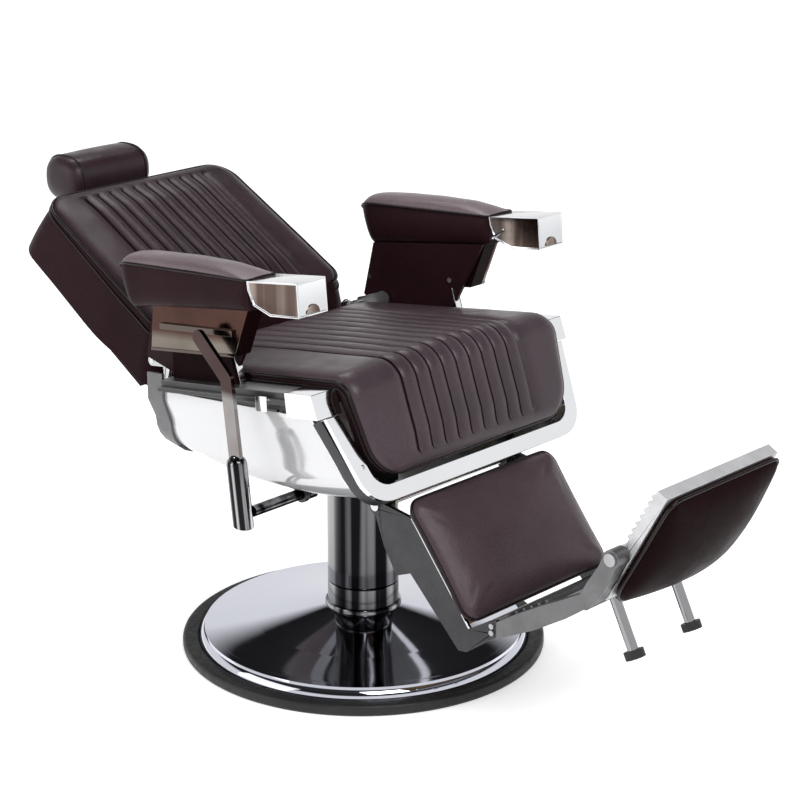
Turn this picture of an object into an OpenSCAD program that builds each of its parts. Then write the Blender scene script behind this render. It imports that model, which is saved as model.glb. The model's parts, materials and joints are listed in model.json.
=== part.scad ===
// Hydraulic barber chair, reclined, as separate pieces.
// Origin: centre of the base on the floor. +Z is up and the sitter faces -Y.

/* [Base] */
// Diameter over the rubber floor ring
base_d = 680; // [600:1:760]
// Radial width of the rubber ring
ring_w = 30; // [22:1:40]
// Height of the rubber ring
ring_h = 22; // [16:1:28]
// Height of the dome's flange above the floor
dome_h = 77; // [68:1:90]
// Sheet thickness of the dome
dome_t = 2; // [1.5:0.5:4]
// Height of the dome's rolled rim
rim_h = 36; // [30:1:44]
// Thickness of the steel plate under the dome
plate_t = 10; // [6:1:14]

/* [Column] */
// Diameter of the column covers
column_d = 133; // [124:1:142]
// Height of the fixed lower collar
collar_h = 48; // [30:1:60]
// Wall of the column covers
cover_t = 3; // [2:0.5:4]
// Outside diameter of the pump cylinder
cylinder_d = 96; // [84:1:100]
// Wall of the pump cylinder
cylinder_t = 8; // [5:1:12]
// Diameter of the piston rod
rod_d = 48; // [36:1:56]

/* [Seat height and tilt] */
// Height of the tub's underside at the column
tub_floor_h = 381; // [372:1:400]
// Height of the seat's reference line above the tub's underside
seat_rise = 134; // [127:1:143]
// Rise of the seat towards the front, in degrees
seat_tilt = 8; // [6:0.5:9]

/* [Rails and tub] */
// Distance between the inner faces of the side rails
rail_gap = 538; // [530:1:546]
// Width of each side rail over its lip
rail_w = 59; // [56:1:64]
// Height of each rail's top above the seat's reference line
rail_top = 57; // [54:1:60]
// Height of each rail's underside above the seat's reference line
rail_under = 22; // [18:1:26]
// Front end of the rails, measured forward
rail_front = 212; // [205:1:220]
// Rear end of the rails, measured backward
rail_back = 184; // [178:1:188]
// Sheet thickness of the tub shell
tub_t = 3; // [2:0.5:4]
// Radius of the tub's lower corners
tub_corner_r = 62; // [50:1:74]
// Width of the bright frame bars
bar_w = 30; // [24:1:34]
// Depth of the front frame bar
bar_d = 33; // [24:1:38]
// Backward lean of the front frame, in degrees
frame_lean = 28.6; // [24:0.5:32]

/* [Seat cushion] */
// Half width of the seat cushion
seat_half_w = 266; // [250:1:267]
// Edge thickness of the seat cushion
seat_pad_t = 38; // [30:1:44]
// Crown of the seat cushion
seat_crown = 13; // [6:1:18]
// Length of the waterfall front
waterfall_l = 140; // [110:1:150]
// Number of sewn channels across the seat
seat_channels = 9; // [5:1:13]
// Half width of the sewn panel down the seat
seat_sewn_half = 152; // [120:1:160]
// Thickness of the seat board
board_t = 12; // [9:1:15]

/* [Backrest] */
// Angle of the backrest above the horizontal, in degrees
back_angle = 29.3; // [26:0.1:34]
// Length of the backrest beyond its pivot
back_l = 347; // [320:1:380]
// Thickness of the upholstered backrest
back_t = 118; // [100:1:126]
// Half width of the backrest's face at its lower end
back_half_low = 238; // [225:1:245]
// Half width of the backrest's face at its upper end
back_half_top = 228; // [215:1:240]
// How far each side leans out from face to rear at the lower end
back_flare = 30; // [10:1:31]
// Number of sewn channels down the back
back_channels = 10; // [5:1:13]
// Half width of the sewn panel down the back
back_sewn_half = 150; // [100:1:152]
// Distance from the base centre back to the backrest's reference point
back_origin_y = 345; // [342:1:352]
// Height of the backrest's reference point above the seat's reference line
back_origin_rise = 41; // [36:1:46]
// Distance from the base centre back to the back's hinge
hinge_y = 264; // [262:1:268]
// Diameter of the back's hinge pins
hinge_pin_d = 10; // [8:1:11]

/* [Headrest] */
// Half width of the headrest roll
head_half_w = 99; // [90:1:130]
// Depth of the headrest roll, front to rear
head_w = 108; // [96:1:116]
// Height of the headrest roll
head_h = 92; // [80:1:100]
// Length of the headrest's slide
post_l = 150; // [110:1:180]

/* [Arms] */
// Distance between the inner faces of the arms
arm_gap = 550; // [546:1:560]
// Width of each arm
arm_w = 68; // [60:1:76]
// Height of the chrome box at each arm's front
arm_box_h = 58; // [48:1:66]
// Crown of the arm pads
arm_crown = 22; // [12:1:28]
// How far forward the arm pads' lower edge lies at the rear
arm_rear_cut = 26; // [8:1:30]
// Height of the recess under each arm's outer panel
arm_recess_h = 57; // [40:1:62]

/* [Pump lever] */
// Distance of the lever from the chair's centre plane
lever_x = 355; // [352:1:372]
// Diameter of the lever's shaft
lever_shaft_d = 20; // [14:1:24]
// Diameter of the lever's lower tube
lever_tube_d = 36; // [28:1:40]
// Width of the lever's flat bar
lever_bar_w = 27; // [18:1:30]
// Thickness of the lever's flat bar
lever_bar_t = 8; // [5:1:10]

/* [Calf rest] */
// Distance from the base centre forward to the calf rest's hinge
calf_hinge_y = 206; // [200:1:212]
// Drop of the calf rest's hinge below the tub's underside
calf_hinge_drop = 9; // [6:1:14]
// Diameter of the calf rest's hinge shaft
calf_shaft_d = 18; // [12:1:20]
// Distance between the outer faces of the side plates
calf_plate_gap = 366; // [350:1:376]
// Thickness of the side plates
calf_plate_t = 8; // [5:1:10]
// Half width of the calf pad
calf_half_w = 191; // [184:1:200]
// Length of the calf pad
calf_pad_l = 218; // [200:1:224]
// Edge thickness of the calf pad
calf_pad_t = 30; // [24:1:36]
// Crown of the calf pad
calf_crown = 16; // [6:1:20]

/* [Footrest] */
// Half width of the flip footrest
foot_half_w = 152; // [140:1:154]
// Length of the footrest plate above its pivot
foot_up = 139; // [120:1:142]
// Length of the footrest plate below its pivot
foot_down = 98; // [80:1:104]
// Thickness of the footrest plate
foot_plate_t = 22; // [16:1:26]
// Crown of the footrest pad
foot_crown = 38; // [20:1:42]
// Number of ridges across the footrest plate
foot_ridges = 7; // [4:1:9]
// Diameter of the footrest's pivot pins
foot_pin_d = 12; // [8:1:16]
// Diameter of the stabiliser legs
leg_d = 19; // [14:1:22]
// Length of the stabiliser legs
leg_l = 102; // [80:1:106]
// Distance between the stabiliser legs
leg_gap = 158; // [130:1:200]

/* [Clearances] */
// Gap between pieces that move past each other
move_gap = 1.5; // [1:0.5:2]
// Radial gap of a pin or shaft in its bore
pin_gap = 0.05; // [0.02:0.01:0.1]

/* [Hidden] */
$fn = 48;
eps = 0.01;
base_r = base_d / 2;
pump_flange_t = 12;
base_bolt_r = 6;
column_r = column_d / 2;
cylinder_r = cylinder_d / 2;
rod_r = rod_d / 2;
dome_r = base_r - ring_w;
flange_r = column_r + 5;
rail_in = rail_gap / 2;
rail_out = rail_in + rail_w;
collar_top = dome_h + collar_h;
shroud_top = tub_floor_h - 3;
cylinder_top = shroud_top - 50;
hub_r = column_r - cover_t - 6;
hub_bore_top = shroud_top - 3;
frame_plate_z = tub_floor_h + 11;
frame_plate_t = 8;
beam_x = 155;
beam_w = 20;
beam_z = tub_floor_h + 33;
beam_h = 26;
board_top = rail_top - 14;
seat_h = tub_floor_h + seat_rise;
back_origin_z = seat_h + back_origin_rise;
hinge_z = seat_h + 41;
calf_hinge_z = tub_floor_h - calf_hinge_drop;
arm_in = arm_gap / 2;
arm_out = arm_in + arm_w;
strap_x = rail_in + 1.5;
strap_t = 4;
tub_top_half = rail_out - 19;
foot_pivot = [calf_hinge_y + 511, calf_hinge_z + 40];
foot_lean = 29.2;
calf_lean = 38;
plate_out = calf_plate_gap / 2;
plate_in = plate_out - calf_plate_t;

// Extrudes a side profile, drawn as (Y, Z), from x0 to x1
module side(x0, x1)
    translate([x0, 0, 0]) rotate([90, 0, 90]) linear_extrude(x1 - x0) children();

// Extrudes a side profile on the left and its mirror image on the right
module both_sides(x0, x1) {
    side(x0, x1) children();
    side(-x1, -x0) children();
}

// Places children on the seat's reference plane, which rises to the front
module on_seat() translate([0, 0, seat_h]) rotate([-seat_tilt, 0, 0]) children();

// Places children at the backrest's reference point, with +Z along it and +Y through its thickness
module on_back()
    translate([0, back_origin_y, back_origin_z]) rotate([back_angle - 90, 0, 0]) children();

// Places children at the calf hinge, with -Z down the calf rest and -Y out of its face
module on_calf() translate([0, -calf_hinge_y, calf_hinge_z]) rotate([-calf_lean, 0, 0]) children();

// Places children at the calf hinge, upright
module at_calf() translate([0, -calf_hinge_y, calf_hinge_z]) children();

// Places children at the footrest pivot, with +Z up the plate and -Y out of its padded face
module on_foot() translate([0, -foot_pivot[0], foot_pivot[1]]) rotate([foot_lean, 0, 0]) children();

module x_rod(x0, x1, r) translate([x0, 0, 0]) rotate([0, 90, 0]) cylinder(h = x1 - x0, r = r);

module round_rect(w, h, r) {
    translate([r, 0]) square([w - 2 * r, h]);
    translate([0, r]) square([w, h - 2 * r]);
    for (x = [r, w - r], y = [r, h - r]) translate([x, y]) circle(r);
}

function mean(list) = [for (k = [0:2]) (min([for (p = list) p[k]]) + max([for (p = list) p[k]])) / 2];

// Faces round the sides of m rings of n points
function side_faces(n, m) = concat(
    [for (j = [0:m - 2], i = [0:n - 1]) [j * n + i, (j + 1) * n + (i + 1) % n, j * n + (i + 1) % n]],
    [for (j = [0:m - 2], i = [0:n - 1]) [j * n + i, (j + 1) * n + i, (j + 1) * n + (i + 1) % n]]);

// Joins rings of equally many points into one closed body
module skin(rings) {
    n = len(rings[0]);
    m = len(rings);
    polyhedron(
        points = concat([for (r = rings) each r], [mean(rings[0]), mean(rings[m - 1])]),
        faces = concat(side_faces(n, m),
            [for (i = [0:n - 1]) [n * m, i, (i + 1) % n]],
            [for (i = [0:n - 1]) [n * m + 1, (m - 1) * n + (i + 1) % n, (m - 1) * n + i]]),
        convexity = 8);
}

// Joins U-shaped rings, each an outer path and its inner path back, into one bent sheet
module sheet_skin(rings) {
    n = len(rings[0]);
    last = (len(rings) - 1) * n;
    path = n / 2 - 2;
    polyhedron(
        points = [for (r = rings) each r],
        faces = concat(side_faces(n, len(rings)),
            [for (i = [0:path]) each [[n - 1 - i, i, i + 1], [n - 1 - i, i + 1, n - 2 - i]]],
            [for (i = [0:path]) each [[last + n - 1 - i, last + i + 1, last + i],
                [last + n - 1 - i, last + n - 2 - i, last + i + 1]]]),
        convexity = 8);
}

// Cross-section of a cushion as [across, height]: crowned top, rounded edges, sewn channels
function pad_ring(half, t, crown, edge, channels, sewn, groove) =
    let (
        inner = half - edge,
        pitch = channels > 0 ? 2 * sewn / channels : 1,
        seam = min(3, pitch / 4),
        tops = channels > 0
            ? [for (i = [0:channels], s = [-seam, 0, seam]) [i * pitch - sewn + s, s == 0 ? groove : 0]]
            : [for (i = [1:9]) [inner * (i / 5 - 1), 0]]
    )
    concat(
        [[-half + 4, 0], [-half, 4]],
        [for (a = [0, 30, 60, 90]) [-inner - edge * cos(a), t - edge + edge * sin(a)]],
        [for (p = tops) [p[0], t + crown * (1 - pow(p[0] / half, 2)) - p[1]]],
        [for (a = [90, 60, 30, 0]) [inner + edge * cos(a), t - edge + edge * sin(a)]],
        [[half, 4], [half - 4, 0]]);

// How far a rounded corner of radius r draws in at distance e from the end
function draw_in(e, r) = e >= r ? 0 : r - sqrt(r * r - (r - e) * (r - e));

// ---- Base ----

module base_plate() color("dimgray") difference() {
    cylinder(h = plate_t, r = dome_r, $fn = 96);
    translate([0, 0, -1]) cylinder(h = plate_t + 2, r = cylinder_r + pin_gap);
    bolt_holes();
}

module bolt_holes() for (a = [45:90:359]) rotate(a)
    translate([cylinder_r + 22, 0, -1]) cylinder(h = plate_t + pump_flange_t + 2, r = base_bolt_r + pin_gap);

module base_ring() color("#2b2b2c") rotate_extrude($fn = 96) {
    translate([dome_r, 0]) round_rect(ring_w, ring_h, 7);
}

module base_dome() color("#c9ccd2") rotate_extrude($fn = 96) difference() {
    dome_profile(0);
    dome_profile(dome_t);
    square([column_r - cover_t, dome_h * 2]);
}

// Half section of the dome, inset by a wall
module dome_profile(inset) {
    shoulder = 26;
    rise = dome_h - rim_h - 4;
    run = dome_r - shoulder - flange_r;
    curve = [for (i = [0:8]) let (s = i / 8) [flange_r + run * s, rim_h + 4 + rise * pow(1 - s, 2.2)]];
    translate([0, -inset]) polygon(concat(
        [[0, plate_t], [0, dome_h]], curve,
        [for (a = [60, 30, 0])
            [dome_r - inset - shoulder + shoulder * cos(a), rim_h - 22 + shoulder * sin(a)]],
        [[dome_r - inset, plate_t]]));
}

module base_bolts() color("gray") for (a = [45:90:359]) rotate(a) translate([cylinder_r + 22, 0, 0]) {
    translate([0, 0, 1]) cylinder(h = plate_t + pump_flange_t - 1, r = base_bolt_r);
    translate([0, 0, plate_t + pump_flange_t]) cylinder(h = 8, r = base_bolt_r + 4, $fn = 6);
}

module column_collar() color("#3a3c3f") rotate_extrude() {
    translate([column_r - cover_t, dome_h]) square([cover_t, collar_h]);
    translate([column_r - cover_t, dome_h]) round_rect(flange_r - column_r + cover_t, 8, 3);
}

module pump_cylinder() color("gray") difference() {
    union() {
        cylinder(h = cylinder_top, r = cylinder_r);
        translate([0, 0, plate_t]) cylinder(h = pump_flange_t, r = cylinder_r + 36);
    }
    translate([0, 0, 14]) cylinder(h = cylinder_top, r = cylinder_r - cylinder_t);
    bolt_holes();
}

module gland_nut() color("silver") difference() {
    translate([0, 0, cylinder_top]) cylinder(h = 12, r = cylinder_r);
    translate([0, 0, cylinder_top - 1]) cylinder(h = 20, r = rod_r + pin_gap);
}

// ---- Lift ----

module piston() color("darkgray") difference() {
    translate([0, 0, 20]) cylinder(h = 36, r = cylinder_r - cylinder_t - pin_gap);
    translate([0, 0, 19]) cylinder(h = 60, r = rod_r);
}

module piston_rod() color("lightgray") translate([0, 0, 20]) cylinder(h = hub_bore_top - 20.3, r = rod_r);

// ---- Seat structure ----

module swivel_hub() color("dimgray") difference() {
    translate([0, 0, cylinder_top + 16]) cylinder(h = frame_plate_z - cylinder_top - 16, r = hub_r);
    cylinder(h = hub_bore_top, r = rod_r + pin_gap);
}

module column_shroud() color("#3a3c3f") difference() {
    translate([0, 0, collar_top + move_gap]) cylinder(h = shroud_top - collar_top - move_gap, r = column_r);
    cylinder(h = shroud_top - 10, r = column_r - cover_t);
    cylinder(h = shroud_top + 1, r = hub_r);
}

module seat_frame() color("#4a4b4d") {
    translate([-beam_x, -100, frame_plate_z]) cube([2 * beam_x, 200, frame_plate_t]);
    for (s = [-1, 1]) {
        translate([s * beam_x - beam_w / 2, -225, beam_z]) cube([beam_w, 440, beam_h]);
        translate([s * beam_x - beam_w / 2, -100, frame_plate_z]) cube([beam_w, 200, 40]);
        translate([s * beam_x - beam_w / 2, -158, beam_z]) cube([beam_w, 20, seat_h - beam_z + 48]);
        translate([s * beam_x - beam_w / 2, 142, beam_z]) cube([beam_w, 20, seat_h - beam_z + 8]);
    }
    on_seat() for (u = [-166, 130])
        translate([-rail_in, u, rail_under]) cube([2 * rail_in, 25, board_top - board_t - rail_under]);
    difference() {
        both_sides(beam_x - 6, beam_x + 6) {
            translate([-calf_hinge_y, calf_hinge_z]) circle(calf_shaft_d / 2 + 7);
            polygon([[-calf_hinge_y - 15, calf_hinge_z], [-calf_hinge_y + 15, calf_hinge_z],
                [-calf_hinge_y + 15, beam_z + 5], [-calf_hinge_y - 15, beam_z + 5]]);
        }
        translate([0, -calf_hinge_y, calf_hinge_z]) x_rod(-beam_x - 20, beam_x + 20, calf_shaft_d / 2);
    }
}

module calf_hinge_shaft() color("silver")
    translate([0, -calf_hinge_y, calf_hinge_z]) x_rod(-plate_out - 4, plate_out + 4, calf_shaft_d / 2);

// Height of the tub's underside at a distance along the chair
function tub_bottom(y) = tub_floor_h + 41 * pow((y - 10) / 300, 2);
// Height of the tub's upper edge at a distance along the chair
function tub_top(y) = seat_h + 24.5 - 0.088 * y;

// Height of the rail's underside at a distance along the chair
function rail_floor(y) = seat_h + rail_under / cos(seat_tilt) - y * tan(seat_tilt);

// U-shaped section of the tub at y, moved out by grow and ending at top_z
function tub_section(y, grow, top_z) =
    let (
        top = [tub_top_half + grow, top_z],
        knee_z = min(rail_floor(y) - 3, tub_top(y) - 4),
        low = rail_out - 36 + grow,
        r = tub_corner_r + grow,
        floor_z = tub_bottom(y) - grow
    )
    concat(
        [[-top[0], y, top[1]], [-top[0], y, knee_z]],
        [for (a = [180:15:270]) [-low + r + r * cos(a), y, floor_z + r + r * sin(a)]],
        [for (a = [270:15:360]) [low - r + r * cos(a), y, floor_z + r + r * sin(a)]],
        [[top[0], y, knee_z], [top[0], y, top[1]]]);

function reversed(list) = [for (i = [len(list) - 1:-1:0]) list[i]];

// Sheet of the tub's form through a list of stations, from an inner to an outer offset
module tub_band(stations, inner, outer, over)
    sheet_skin([for (y = reversed(stations)) let (top_z = tub_top(y) + over)
        concat(tub_section(y, outer, top_z), reversed(tub_section(y, inner, top_z)))]);

rear_y = 191;
rear_stations = [for (i = [0:6]) rear_y + 6 * i];
tub_stations = concat([for (i = [0:17]) -320 + (rear_y + 320) * i / 18], rear_stations);

module in_front_frame()
    translate([0, -rail_front + 6, seat_h + frame_rise]) rotate([-frame_lean, 0, 0]) children();

module tub_shell() color("#eceded") difference() {
    tub_band(tub_stations, -tub_t, 0, 0);
    in_front_frame() translate([-400, bar_d - 400, -400]) cube([800, 400, 800]);
    cylinder(h = 600, r = hub_r + 2);
    for (s = [-1, 1]) translate([s * beam_x - 8, -calf_hinge_y - 18, 0]) cube([16, 36, beam_z]);
}

module rear_frame() color("#d5d7da") tub_band(concat(rear_stations, [rear_y + 40]), 0.8, 6, 33);

// Outline of the front frame's opening or outside
module u_outline(top_half, low_half, low, r) hull() {
    translate([-top_half, 0]) square([2 * top_half, 0.1]);
    for (s = [-1, 1]) translate([s * (low_half - r), low + r]) circle(r);
}

module front_frame() color("#dfe1e4") in_front_frame() translate([0, bar_d, 0]) rotate([90, 0, 0])
    linear_extrude(bar_d) difference() {
        u_outline(rail_out - 14, rail_out - 39, -frame_drop, tub_corner_r);
        translate([0, 0.5]) u_outline(rail_out - 14 - bar_w, rail_out - 39 - bar_w, -frame_drop + bar_w - 2.5,
            tub_corner_r - bar_w + 6);
        translate([-400, -rail_slot()]) square([800, 100]);
    }

// Length of the front frame below its top, down to just under the tub
frame_rise = 62;
frame_drop = (seat_h + frame_rise + 5.6 - tub_bottom(-rail_front - 81)) / cos(frame_lean);

// How far the front frame stops below its own reference, at the rail's underside
function rail_slot() = 16;

// ---- Rails ----

module rail_section() polygon([[rail_in, rail_under], [rail_in, rail_top], [rail_out - 10, rail_top],
    [rail_out - 10, rail_top - 11], [rail_out, rail_top - 11], [rail_out, rail_top - 19],
    [rail_in + 36, rail_top - 19], [rail_in + 36, rail_under]]);

module side_rail() on_seat() translate([0, rail_back, 0]) rotate([90, 0, 0])
    linear_extrude(rail_back + rail_front - 70) rail_section();

module rail_cap() on_seat() side(rail_in, rail_out)
    polygon([[-rail_front + 70, rail_under - 4], [-rail_front - 4, rail_under - 4],
        [-rail_front + 6, rail_top + 3], [-rail_front + 10, rail_top + 4], [-rail_front + 70, rail_top + 4]]);

module side_rail_l() color("#d5d7da") side_rail();
module side_rail_r() color("#d5d7da") mirror([1, 0, 0]) side_rail();
module rail_cap_l() color("#dfe1e4") rail_cap();
module rail_cap_r() color("#dfe1e4") mirror([1, 0, 0]) rail_cap();

module shell_brackets() color("#b8babd") on_seat() for (u = [-75, 120])
    both_sides(rail_in + 12, rail_in + 18) translate([u, rail_under - 20]) square([32, 20]);

// ---- Seat ----

module seat_board() color("#b08a5a") on_seat()
    translate([-rail_in + 2, -rail_front + 32, board_top - board_t]) cube([2 * rail_in - 4, rail_front - 32 + 235, board_t]);

seat_turn = 78;
seat_bend_r = 45;
seat_flat = 204;
seat_rear = 247;

// Stations along the seat cushion as [along, turn, distance to the nearer end]
seat_stations = concat(
    [for (e = [0, 5, 16, 34, 60]) [seat_rear - e, 0, e]],
    [for (u = [100, 0, -100, -seat_flat]) [u, 0, 99]],
    [for (a = [16:15.5:seat_turn]) [-seat_flat, a, 99]],
    [for (e = [60, 34, 16, 5, 0]) [-seat_flat - (waterfall_l - e), seat_turn, e]]);

module seat_cushion() color("#4c464a") on_seat() skin([for (st = seat_stations)
    let (
        roll = draw_in(st[2], 18),
        fall = st[1] < seat_turn ? 0 : -seat_flat - st[0],
        half = seat_half_w - 0.13 * fall - draw_in(st[2], 60),
        swell = seat_crown * min(1, st[2] / 60) * (1 - 0.35 * st[1] / seat_turn),
        groove = 4 * min(1, st[2] / 30),
        ring = pad_ring(half, seat_pad_t - roll, swell, 16, seat_channels, seat_sewn_half, groove),
        centre = [-seat_flat, board_top + seat_pad_t - seat_bend_r]
    )
    [for (p = ring) let (h = seat_bend_r - seat_pad_t + max(p[1], 0) + (p[1] == 0 ? roll * 0.4 : 0))
        st[1] == 0
            ? [p[0], st[0], centre[1] + h]
            : [p[0], centre[0] - h * sin(st[1]) - fall * cos(st[1]),
                centre[1] + h * cos(st[1]) - fall * sin(st[1])]]]);

// ---- Arms, drawn for the left and mirrored for the right ----

arm_front = 186;
arm_floor = seat_h + 222;

module arm_box() side(arm_in, arm_out) polygon([[-arm_front, arm_floor],
    [-arm_front + 5, arm_floor + arm_box_h + 1], [-62, arm_floor + arm_box_h - 16], [-64, arm_floor + 27],
    [-78, arm_floor + 2], [-118, arm_floor - 9]]);

// Height of the arm pad's underside at a distance along the chair
function arm_bottom(y) = arm_floor - 22 - 0.155 * y;

// Height of the rail's top at a distance along the chair
function arm_rest(y) = seat_h + rail_top / cos(seat_tilt) - y * tan(seat_tilt);

// Height of the outer panel's lower edge, above the rail
function panel_foot(y) = arm_rest(y) + arm_recess_h;

arm_rear = 205;

// Upper block between the panels, and a narrow web below it that stands on the rail
module arm_core() {
    side(arm_in + 12, rail_out - 10) polygon([[arm_rear - 4, panel_foot(arm_rear)],
        [arm_rear - 4, arm_bottom(arm_rear)], [-46, arm_bottom(-46)], [-10, panel_foot(-10)]]);
    side(arm_in + 12, arm_in + 22) polygon([[rail_back - 4, arm_rest(rail_back - 4)],
        [rail_back - 4, panel_foot(rail_back)], [32, panel_foot(32)], [14, arm_rest(14)]]);
}

module arm_panel() side(rail_out - 10, rail_out - 3) polygon([[arm_rear, panel_foot(arm_rear)],
    [arm_rear - 8, arm_bottom(arm_rear)], [-46, arm_bottom(-46)], [-10, panel_foot(-10)]]);

module trim_bar() side(rail_out - 3, rail_out + 3) polygon([[174, arm_floor - 91], [174, arm_floor - 80],
    [-10, arm_floor - 58], [-10, arm_floor - 69]]);

module inner_panel() side(arm_in + 4, arm_in + 12) polygon([[-45, arm_bottom(-45)], [236, arm_bottom(236)],
    [262, arm_rest(262) + 34], [255, arm_rest(255) + 30], [184, arm_rest(184) + 4], [50, arm_rest(50) + 4],
    [30, arm_rest(30) + 14]]);

// Stations along the arm pad as [y, share of the crown, draw-in of the sides]
arm_stations = [[277, 0.15, 22], [274, 0.4, 13], [267, 0.6, 7], [255, 0.72, 3], [225, 0.85, 0.5],
    [170, 0.95, 0], [88, 1, 0], [10, 0.85, 0], [-30, 0.5, 0], [-50, 0.25, 0], [-61.7, 0.12, 0]];

function arm_seam(y) = arm_floor + 37 - 0.078 * y;

// How far the lower edge of an arm pad lies forward of its upper edge at ring y
function arm_slope(y) = arm_rear_cut * max(0, (y - 200) / 77);

// Point of an arm pad at x, ring y and height z, with the rear end sloping forward to its lower edge
function arm_point(x, y, z, low, high) =
    [x, y - arm_slope(y) * min(1, max(0, (high - z) / (high - low))), z];

module arm_pad() color("#3b2a2d") skin([for (st = arm_stations)
    let (
        y = st[0],
        half = arm_w / 2 - st[2],
        low = arm_bottom(y - arm_slope(y)) + 0.2 + 0.6 * st[2],
        high = arm_seam(y) - 0.3 * st[2],
        mid = arm_in + arm_w / 2,
        wall = [[half - 9, low], [half - 3, low + 2.5], [half, low + 9], [half, (low + high) / 2], [half, high]]
    )
    concat(
        [for (p = wall) arm_point(mid - p[0], y, p[1], low, high)],
        [for (a = [160:-20:20]) [mid + half * cos(a), y, high + arm_crown * st[1] * sin(a)]],
        [for (i = [4:-1:0]) arm_point(mid + wall[i][0], y, wall[i][1], low, high)])]);

module arm_box_l() color("#d5d7da") arm_box();
module arm_box_r() color("#d5d7da") mirror([1, 0, 0]) arm_box();
module arm_core_l() color("#8f7a5c") arm_core();
module arm_core_r() color("#8f7a5c") mirror([1, 0, 0]) arm_core();
module arm_pad_l() color("#3b2a2d") arm_pad();
module arm_pad_r() color("#3b2a2d") mirror([1, 0, 0]) arm_pad();
module arm_panel_l() color("#b9aeb0") arm_panel();
module arm_panel_r() color("#b9aeb0") mirror([1, 0, 0]) arm_panel();
module trim_bar_l() color("#e6e6e6") trim_bar();
module trim_bar_r() color("#e6e6e6") mirror([1, 0, 0]) trim_bar();
module inner_panel_l() color("#3b2a2d") inner_panel();
module inner_panel_r() color("#3b2a2d") mirror([1, 0, 0]) inner_panel();

module panel_screws() color("silver") for (s = [-1, 1], p = [[246, 122], [36, 124]])
    translate([s * (arm_in + 4), p[0], seat_h + p[1] - 0.14 * p[0] + 5]) rotate([0, -90 * s, 0])
        cylinder(h = 2, r = 5);

// ---- Back hinge ----

hinge_eye_r = 9;

// Flat straps along the arms' inner panels, bolted to them through two spacers
module hinge_straps() color("#d5d7da") difference() {
    union() {
        both_sides(strap_x, strap_x + strap_t) {
            translate([hinge_y, hinge_z]) circle(hinge_eye_r);
            translate([204, hinge_z + 15]) circle(16);
            polygon([[204, hinge_z + 31], [hinge_y, hinge_z + hinge_eye_r], [hinge_y, hinge_z - hinge_eye_r],
                [204, hinge_z - 1]]);
        }
        both_sides(strap_x, arm_in + 4) for (p = [[204, 20], [232, 16]])
            translate([p[0], hinge_z + p[1]]) circle(5);
    }
    translate([0, hinge_y, hinge_z]) x_rod(-400, 400, hinge_pin_d / 2);
}

lug_x = 230;

module hinge_pins() color("silver") translate([0, hinge_y, hinge_z]) for (s = [0, 1]) mirror([s, 0, 0]) {
    x_rod(lug_x - 2, strap_x + strap_t + 0.5, hinge_pin_d / 2);
    x_rod(lug_x - 5, lug_x - 1, hinge_pin_d / 2 + 4);
}

// ---- Backrest ----

back_front = 81.5;
board_back = back_t - back_front;

// Lugs that run from the hinge under the cushion's lower end to the rear of the board
module back_arms() color("#bfc1c4") difference() {
    on_back() both_sides(lug_x, lug_x + 8)
        polygon([[-52, -78], [-46, -60], [-33, -60.5], [24, -94], [board_back, -94], [board_back, 30],
            [board_back + 10, 30], [board_back + 10, -104], [-38, -84]]);
    translate([0, hinge_y, hinge_z]) x_rod(-400, 400, hinge_pin_d / 2 + pin_gap);
}

// Half width of the backrest's face at height z along it
function back_half(z) = back_half_low + (back_half_top - back_half_low) * max(z, 0) / back_l;

// Lean of the backrest's sides at height z, from face to rear
function back_lean(z) = back_flare * (1 - max(z, 0) / back_l / 2);

module back_board() color("#35262a") on_back() difference() {
    translate([0, board_back, 0]) rotate([90, 0, 0]) linear_extrude(board_t) polygon([
        [-back_rear(-60), -60], [back_rear(-60), -60], [back_rear(back_l - 40), back_l - 40],
        [-back_rear(back_l - 40), back_l - 40]]);
    translate([-post_half - 1, board_back - board_t - 1, back_l - post_l - 20])
        cube([2 * post_half + 2, board_t + 2, 400]);
}

// Half width of the board at height z, just inside the cushion's rear edge
function back_rear(z) = back_half(z) + back_lean(z) - 4;

post_half = 30;
post_t = 6;

// Stations up the backrest as [height, distance to the nearer end]
back_stations = concat(
    [for (e = [0, 8, 24, 45, 70]) [e - 24, e]],
    [for (z = [110, 180, 245]) [z, 99]],
    [for (e = [70, 45, 24, 8, 0]) [back_l - e, e]]);

module back_cushion() color("#30232a") on_back() skin([for (st = back_stations)
    let (
        z = st[0],
        upper = z > 120,
        roll = draw_in(st[1], 24),
        half = back_half(z) - (upper ? draw_in(st[1], 50) : draw_in(st[1], 30)),
        deep = back_t - board_t,
        lean = back_lean(z) / half / deep,
        swell = 12 * min(1, st[1] / 70),
        slope = 0.61 * max(0, 1 - (z + 24) / 130),
        groove = 4 * min(1, st[1] / 30),
        ring = pad_ring(half, deep - roll, swell, 22, back_channels, back_sewn_half, groove)
    )
    [for (p = ring) let (y = board_back - board_t - p[1])
        [p[0] * (1 + lean * max(deep - p[1], 0)), y, z - slope * (y + back_front)]]]);

// ---- Headrest ----

module headrest_socket() color("#4a4b4d") on_back() difference() {
    translate([-post_half - 8, board_back, back_l - post_l - 30]) cube([2 * post_half + 16, 12, post_l - 20]);
    translate([-post_half - 1, board_back - 1, back_l - post_l - 40])
        cube([2 * post_half + 2, post_t + 3, 400]);
}

// Underside of the roll, where the post's tongue goes in
tongue_y = 24;

module headrest_post() color("silver") on_back() {
    translate([-post_half, board_back + 1, back_l - post_l])
        cube([2 * post_half, post_t, head_z + 3 - back_l + post_l]);
    translate([-post_half, tongue_y, head_z - 3])
        cube([2 * post_half, board_back + 1 + post_t - tongue_y, 6]);
}

head_y = -18.6;
head_z = back_l + 98;

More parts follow.
